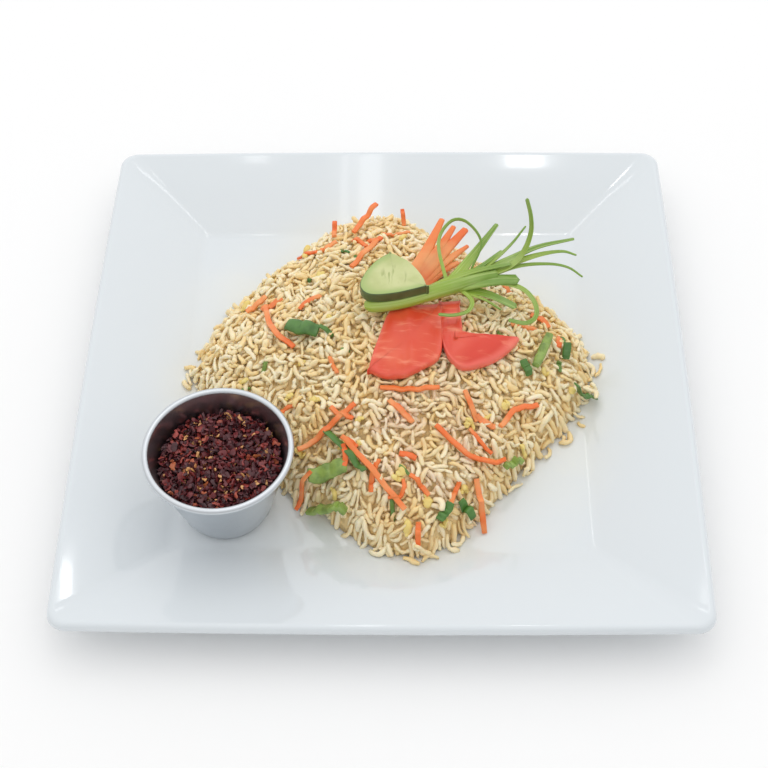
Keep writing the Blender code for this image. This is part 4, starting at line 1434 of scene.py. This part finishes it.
class RICE_OT_cucumber(bpy.types.Operator):
    """Build the slice of cucumber"""
    bl_idname = "fried_rice.cucumber"
    bl_label = "Cucumber slice"

    def execute(self, context):
        edge = closed_curve(CUCUMBER, 10)
        rind = np.repeat(CUCUMBER_SKIN, 10)
        heart = edge.mean(axis=0)
        fall = (CUCUMBER_FAR[1] - CUCUMBER_NEAR[1]) / (CUCUMBER_FAR[0] - CUCUMBER_NEAR[0])
        rows = ((0.3, 1.0, 0.0), (0.93, 1.0, 1.0), (0.99, 0.9, 1.0), (1.0, 0.7, 1.0), (1.0, 0.4, 1.0),
                (1.0, 0.16, 1.0),
                (0.997, 0.05, 1.0), (0.985, 0.0, 0.9), (0.965, 0.0, 0.0), (0.9, 0.0, 0.0),
                (0.75, 0.02, 0.0),
                (0.5, 0.04, 0.0),
                (0.2, 0.05, 0.0))
        rings, edges, walls, skins = [], [], [], []
        for share, drop, wall in rows:
            spots = heart + share * (edge - heart)
            heights = CUCUMBER_NEAR[1] + fall * (spots[:, 1] - CUCUMBER_NEAR[0]) - drop * CUCUMBER_THICK
            rings.append(np.column_stack([spots, heights]))
            edges += [share] * len(edge)
            walls += [wall] * len(edge)
            skins += list(rind)
        points, quads, triangles = loft(rings)
        _, high = corners("cucumber_slice")
        points[:, 2] += high.z - CUCUMBER_SINK - points[:, 2].max()
        values = {"edge": edges + [0.0, 0.0], "wall": walls + [0.0, 0.0], "skin": skins + [0.0, 0.0]}
        piece = new_piece("cucumber", points, quads, triangles,
                          cucumber_paint(tuple(context.scene.rice_garnish.cucumber)), values,
                          outward=True)
        piece.data.set_sharp_from_angle(angle=math.radians(60))
        settle(piece, "cucumber", "cucumber_slice")
        return {"FINISHED"}


# ---------------------------------------------------------------- stage

AIM = (-0.0006, -0.0146, 0.025)
GLOW_FROM = (0.0, 0.35, 0.94)


class RICE_OT_stage(bpy.types.Operator):
    """Set the floor, the lamps and the camera"""
    bl_idname = "fried_rice.stage"
    bl_label = "Stage"

    def execute(self, context):
        sizes = context.scene.rice_stage
        scene = context.scene
        scene.view_settings.view_transform = "Standard"
        self.build_floor()
        self.light_world(sizes)
        self.add_lamp("broad_strip", (-0.052, 0.45, 1.3), (0.031, 0.90), 0.30)
        self.add_lamp("thin_strip", (-0.0875, 0.45, 1.3), (0.010, 0.90), 0.10)
        self.add_lamp("right_panel", (0.155, 0.52, 1.2), (0.05, 0.14), 0.22)
        self.add_lamp("left_panel", (-0.20, 0.53, 1.2), (0.03, 0.10), 0.03)
        self.add_camera(sizes)
        return {"FINISHED"}

    def build_floor(self):
        paint = Paint("floor_paint")
        cloud = paint.noise(3.0, 1.0)
        finish = paint.finish(base_color=paint.mix(cloud, (0.93, 0.93, 0.93), (0.94, 0.94, 0.94)),
                              roughness=0.9)
        side = 4000.0
        corners_of = [(-side, -side, 0), (side, -side, 0), (side, side, 0), (-side, side, 0)]
        floor = new_piece("floor", corners_of, [(0, 1, 2, 3)], [], finish)

    def light_world(self, sizes):
        """An even white room that brightens softly towards the ceiling behind the dish."""
        world = bpy.data.worlds.new("white_room")
        world.use_nodes = True
        nodes, links = world.node_tree.nodes, world.node_tree.links
        facing = nodes.new("ShaderNodeTexCoord")
        match = nodes.new("ShaderNodeVectorMath")
        match.operation = "DOT_PRODUCT"
        match.inputs[1].default_value = Vector(GLOW_FROM).normalized()
        spread = nodes.new("ShaderNodeMapRange")
        spread.interpolation_type = "SMOOTHSTEP"
        spread.inputs["From Min"].default_value = 0.0
        spread.inputs["From Max"].default_value = 1.0
        spread.inputs["To Min"].default_value = sizes.sky
        spread.inputs["To Max"].default_value = sizes.sky + sizes.glow
        links.new(facing.outputs["Generated"], match.inputs[0])
        links.new(match.outputs["Value"], spread.inputs["Value"])
        links.new(spread.outputs["Result"], nodes["Background"].inputs["Strength"])
        nodes["Background"].inputs["Color"].default_value = (1.0, 1.0, 1.0, 1.0)
        bpy.context.scene.world = world

    def add_lamp(self, name, place, size, power):
        data = bpy.data.lights.new(name, "AREA")
        data.shape = "RECTANGLE"
        data.size, data.size_y = size
        data.energy = power
        lamp = bpy.data.objects.new(name, data)
        lamp.location = place
        bpy.context.scene.collection.objects.link(lamp)

    def add_camera(self, sizes):
        rise, turn, roll = sizes.camera_height, sizes.camera_turn, sizes.camera_roll
        ahead = Vector((0.0, math.cos(rise), -math.sin(rise)))
        up = Vector((0.0, math.sin(rise), math.cos(rise)))
        right = Vector((1.0, 0.0, 0.0))
        spin = Matrix.Rotation(turn, 3, "Z")
        place = (spin @ (Vector((AIM[0], AIM[1], 0.0)) - sizes.camera_distance * ahead)
                 + Vector((0.0, 0.0, AIM[2])))
        axes = (spin @ (math.cos(roll) * right - math.sin(roll) * up),
                spin @ (math.sin(roll) * right + math.cos(roll) * up),
                spin @ -ahead)
        data = bpy.data.cameras.new("camera")
        data.lens = sizes.lens
        data.sensor_width = 36.0
        camera = bpy.data.objects.new("camera", data)
        camera.matrix_world = Matrix.Translation(place) @ Matrix(axes).transposed().to_4x4()
        bpy.context.scene.collection.objects.link(camera)
        bpy.context.scene.camera = camera


# ---------------------------------------------------------------- panel and run

class RICE_PT_panel(bpy.types.Panel):
    """Buttons for the pieces of the dish"""
    bl_label = "Fried rice plate"
    bl_idname = "RICE_PT_panel"
    bl_space_type = "VIEW_3D"
    bl_region_type = "UI"
    bl_category = "Fried Rice"

    def draw(self, context):
        for operator in OPERATORS:
            self.layout.operator(operator.bl_idname)
        for name, _ in SETTINGS:
            box = self.layout.box()
            group = getattr(context.scene, name)
            for key in group.bl_rna.properties.keys():
                if key not in ("rna_type", "name"):
                    box.prop(group, key)


SETTINGS = (("rice_plate", PlateSettings), ("rice_grains", RiceSettings), ("rice_cup", CupSettings),
            ("rice_garnish", GarnishSettings), ("rice_stage", StageSettings))
OPERATORS = (RICE_OT_plate, RICE_OT_cup, RICE_OT_flakes, RICE_OT_heap, RICE_OT_tomato, RICE_OT_carrot,
             RICE_OT_scallion, RICE_OT_cucumber, RICE_OT_stage)


def register():
    for name, group in SETTINGS:
        bpy.utils.register_class(group)
        setattr(bpy.types.Scene, name, bpy.props.PointerProperty(type=group))
    for operator in OPERATORS:
        bpy.utils.register_class(operator)
    bpy.utils.register_class(RICE_PT_panel)


def unregister():
    bpy.utils.unregister_class(RICE_PT_panel)
    for operator in reversed(OPERATORS):
        bpy.utils.unregister_class(operator)
    for name, group in reversed(SETTINGS):
        delattr(bpy.types.Scene, name)
        bpy.utils.unregister_class(group)


def main():
    register()
    bpy.ops.fried_rice.plate()
    bpy.ops.fried_rice.cup()
    bpy.ops.fried_rice.flakes()
    bpy.ops.fried_rice.heap()
    bpy.ops.fried_rice.tomato()
    bpy.ops.fried_rice.carrot()
    bpy.ops.fried_rice.scallion()
    bpy.ops.fried_rice.cucumber()
    bpy.ops.fried_rice.stage()


if __name__ == "__main__":
    main()
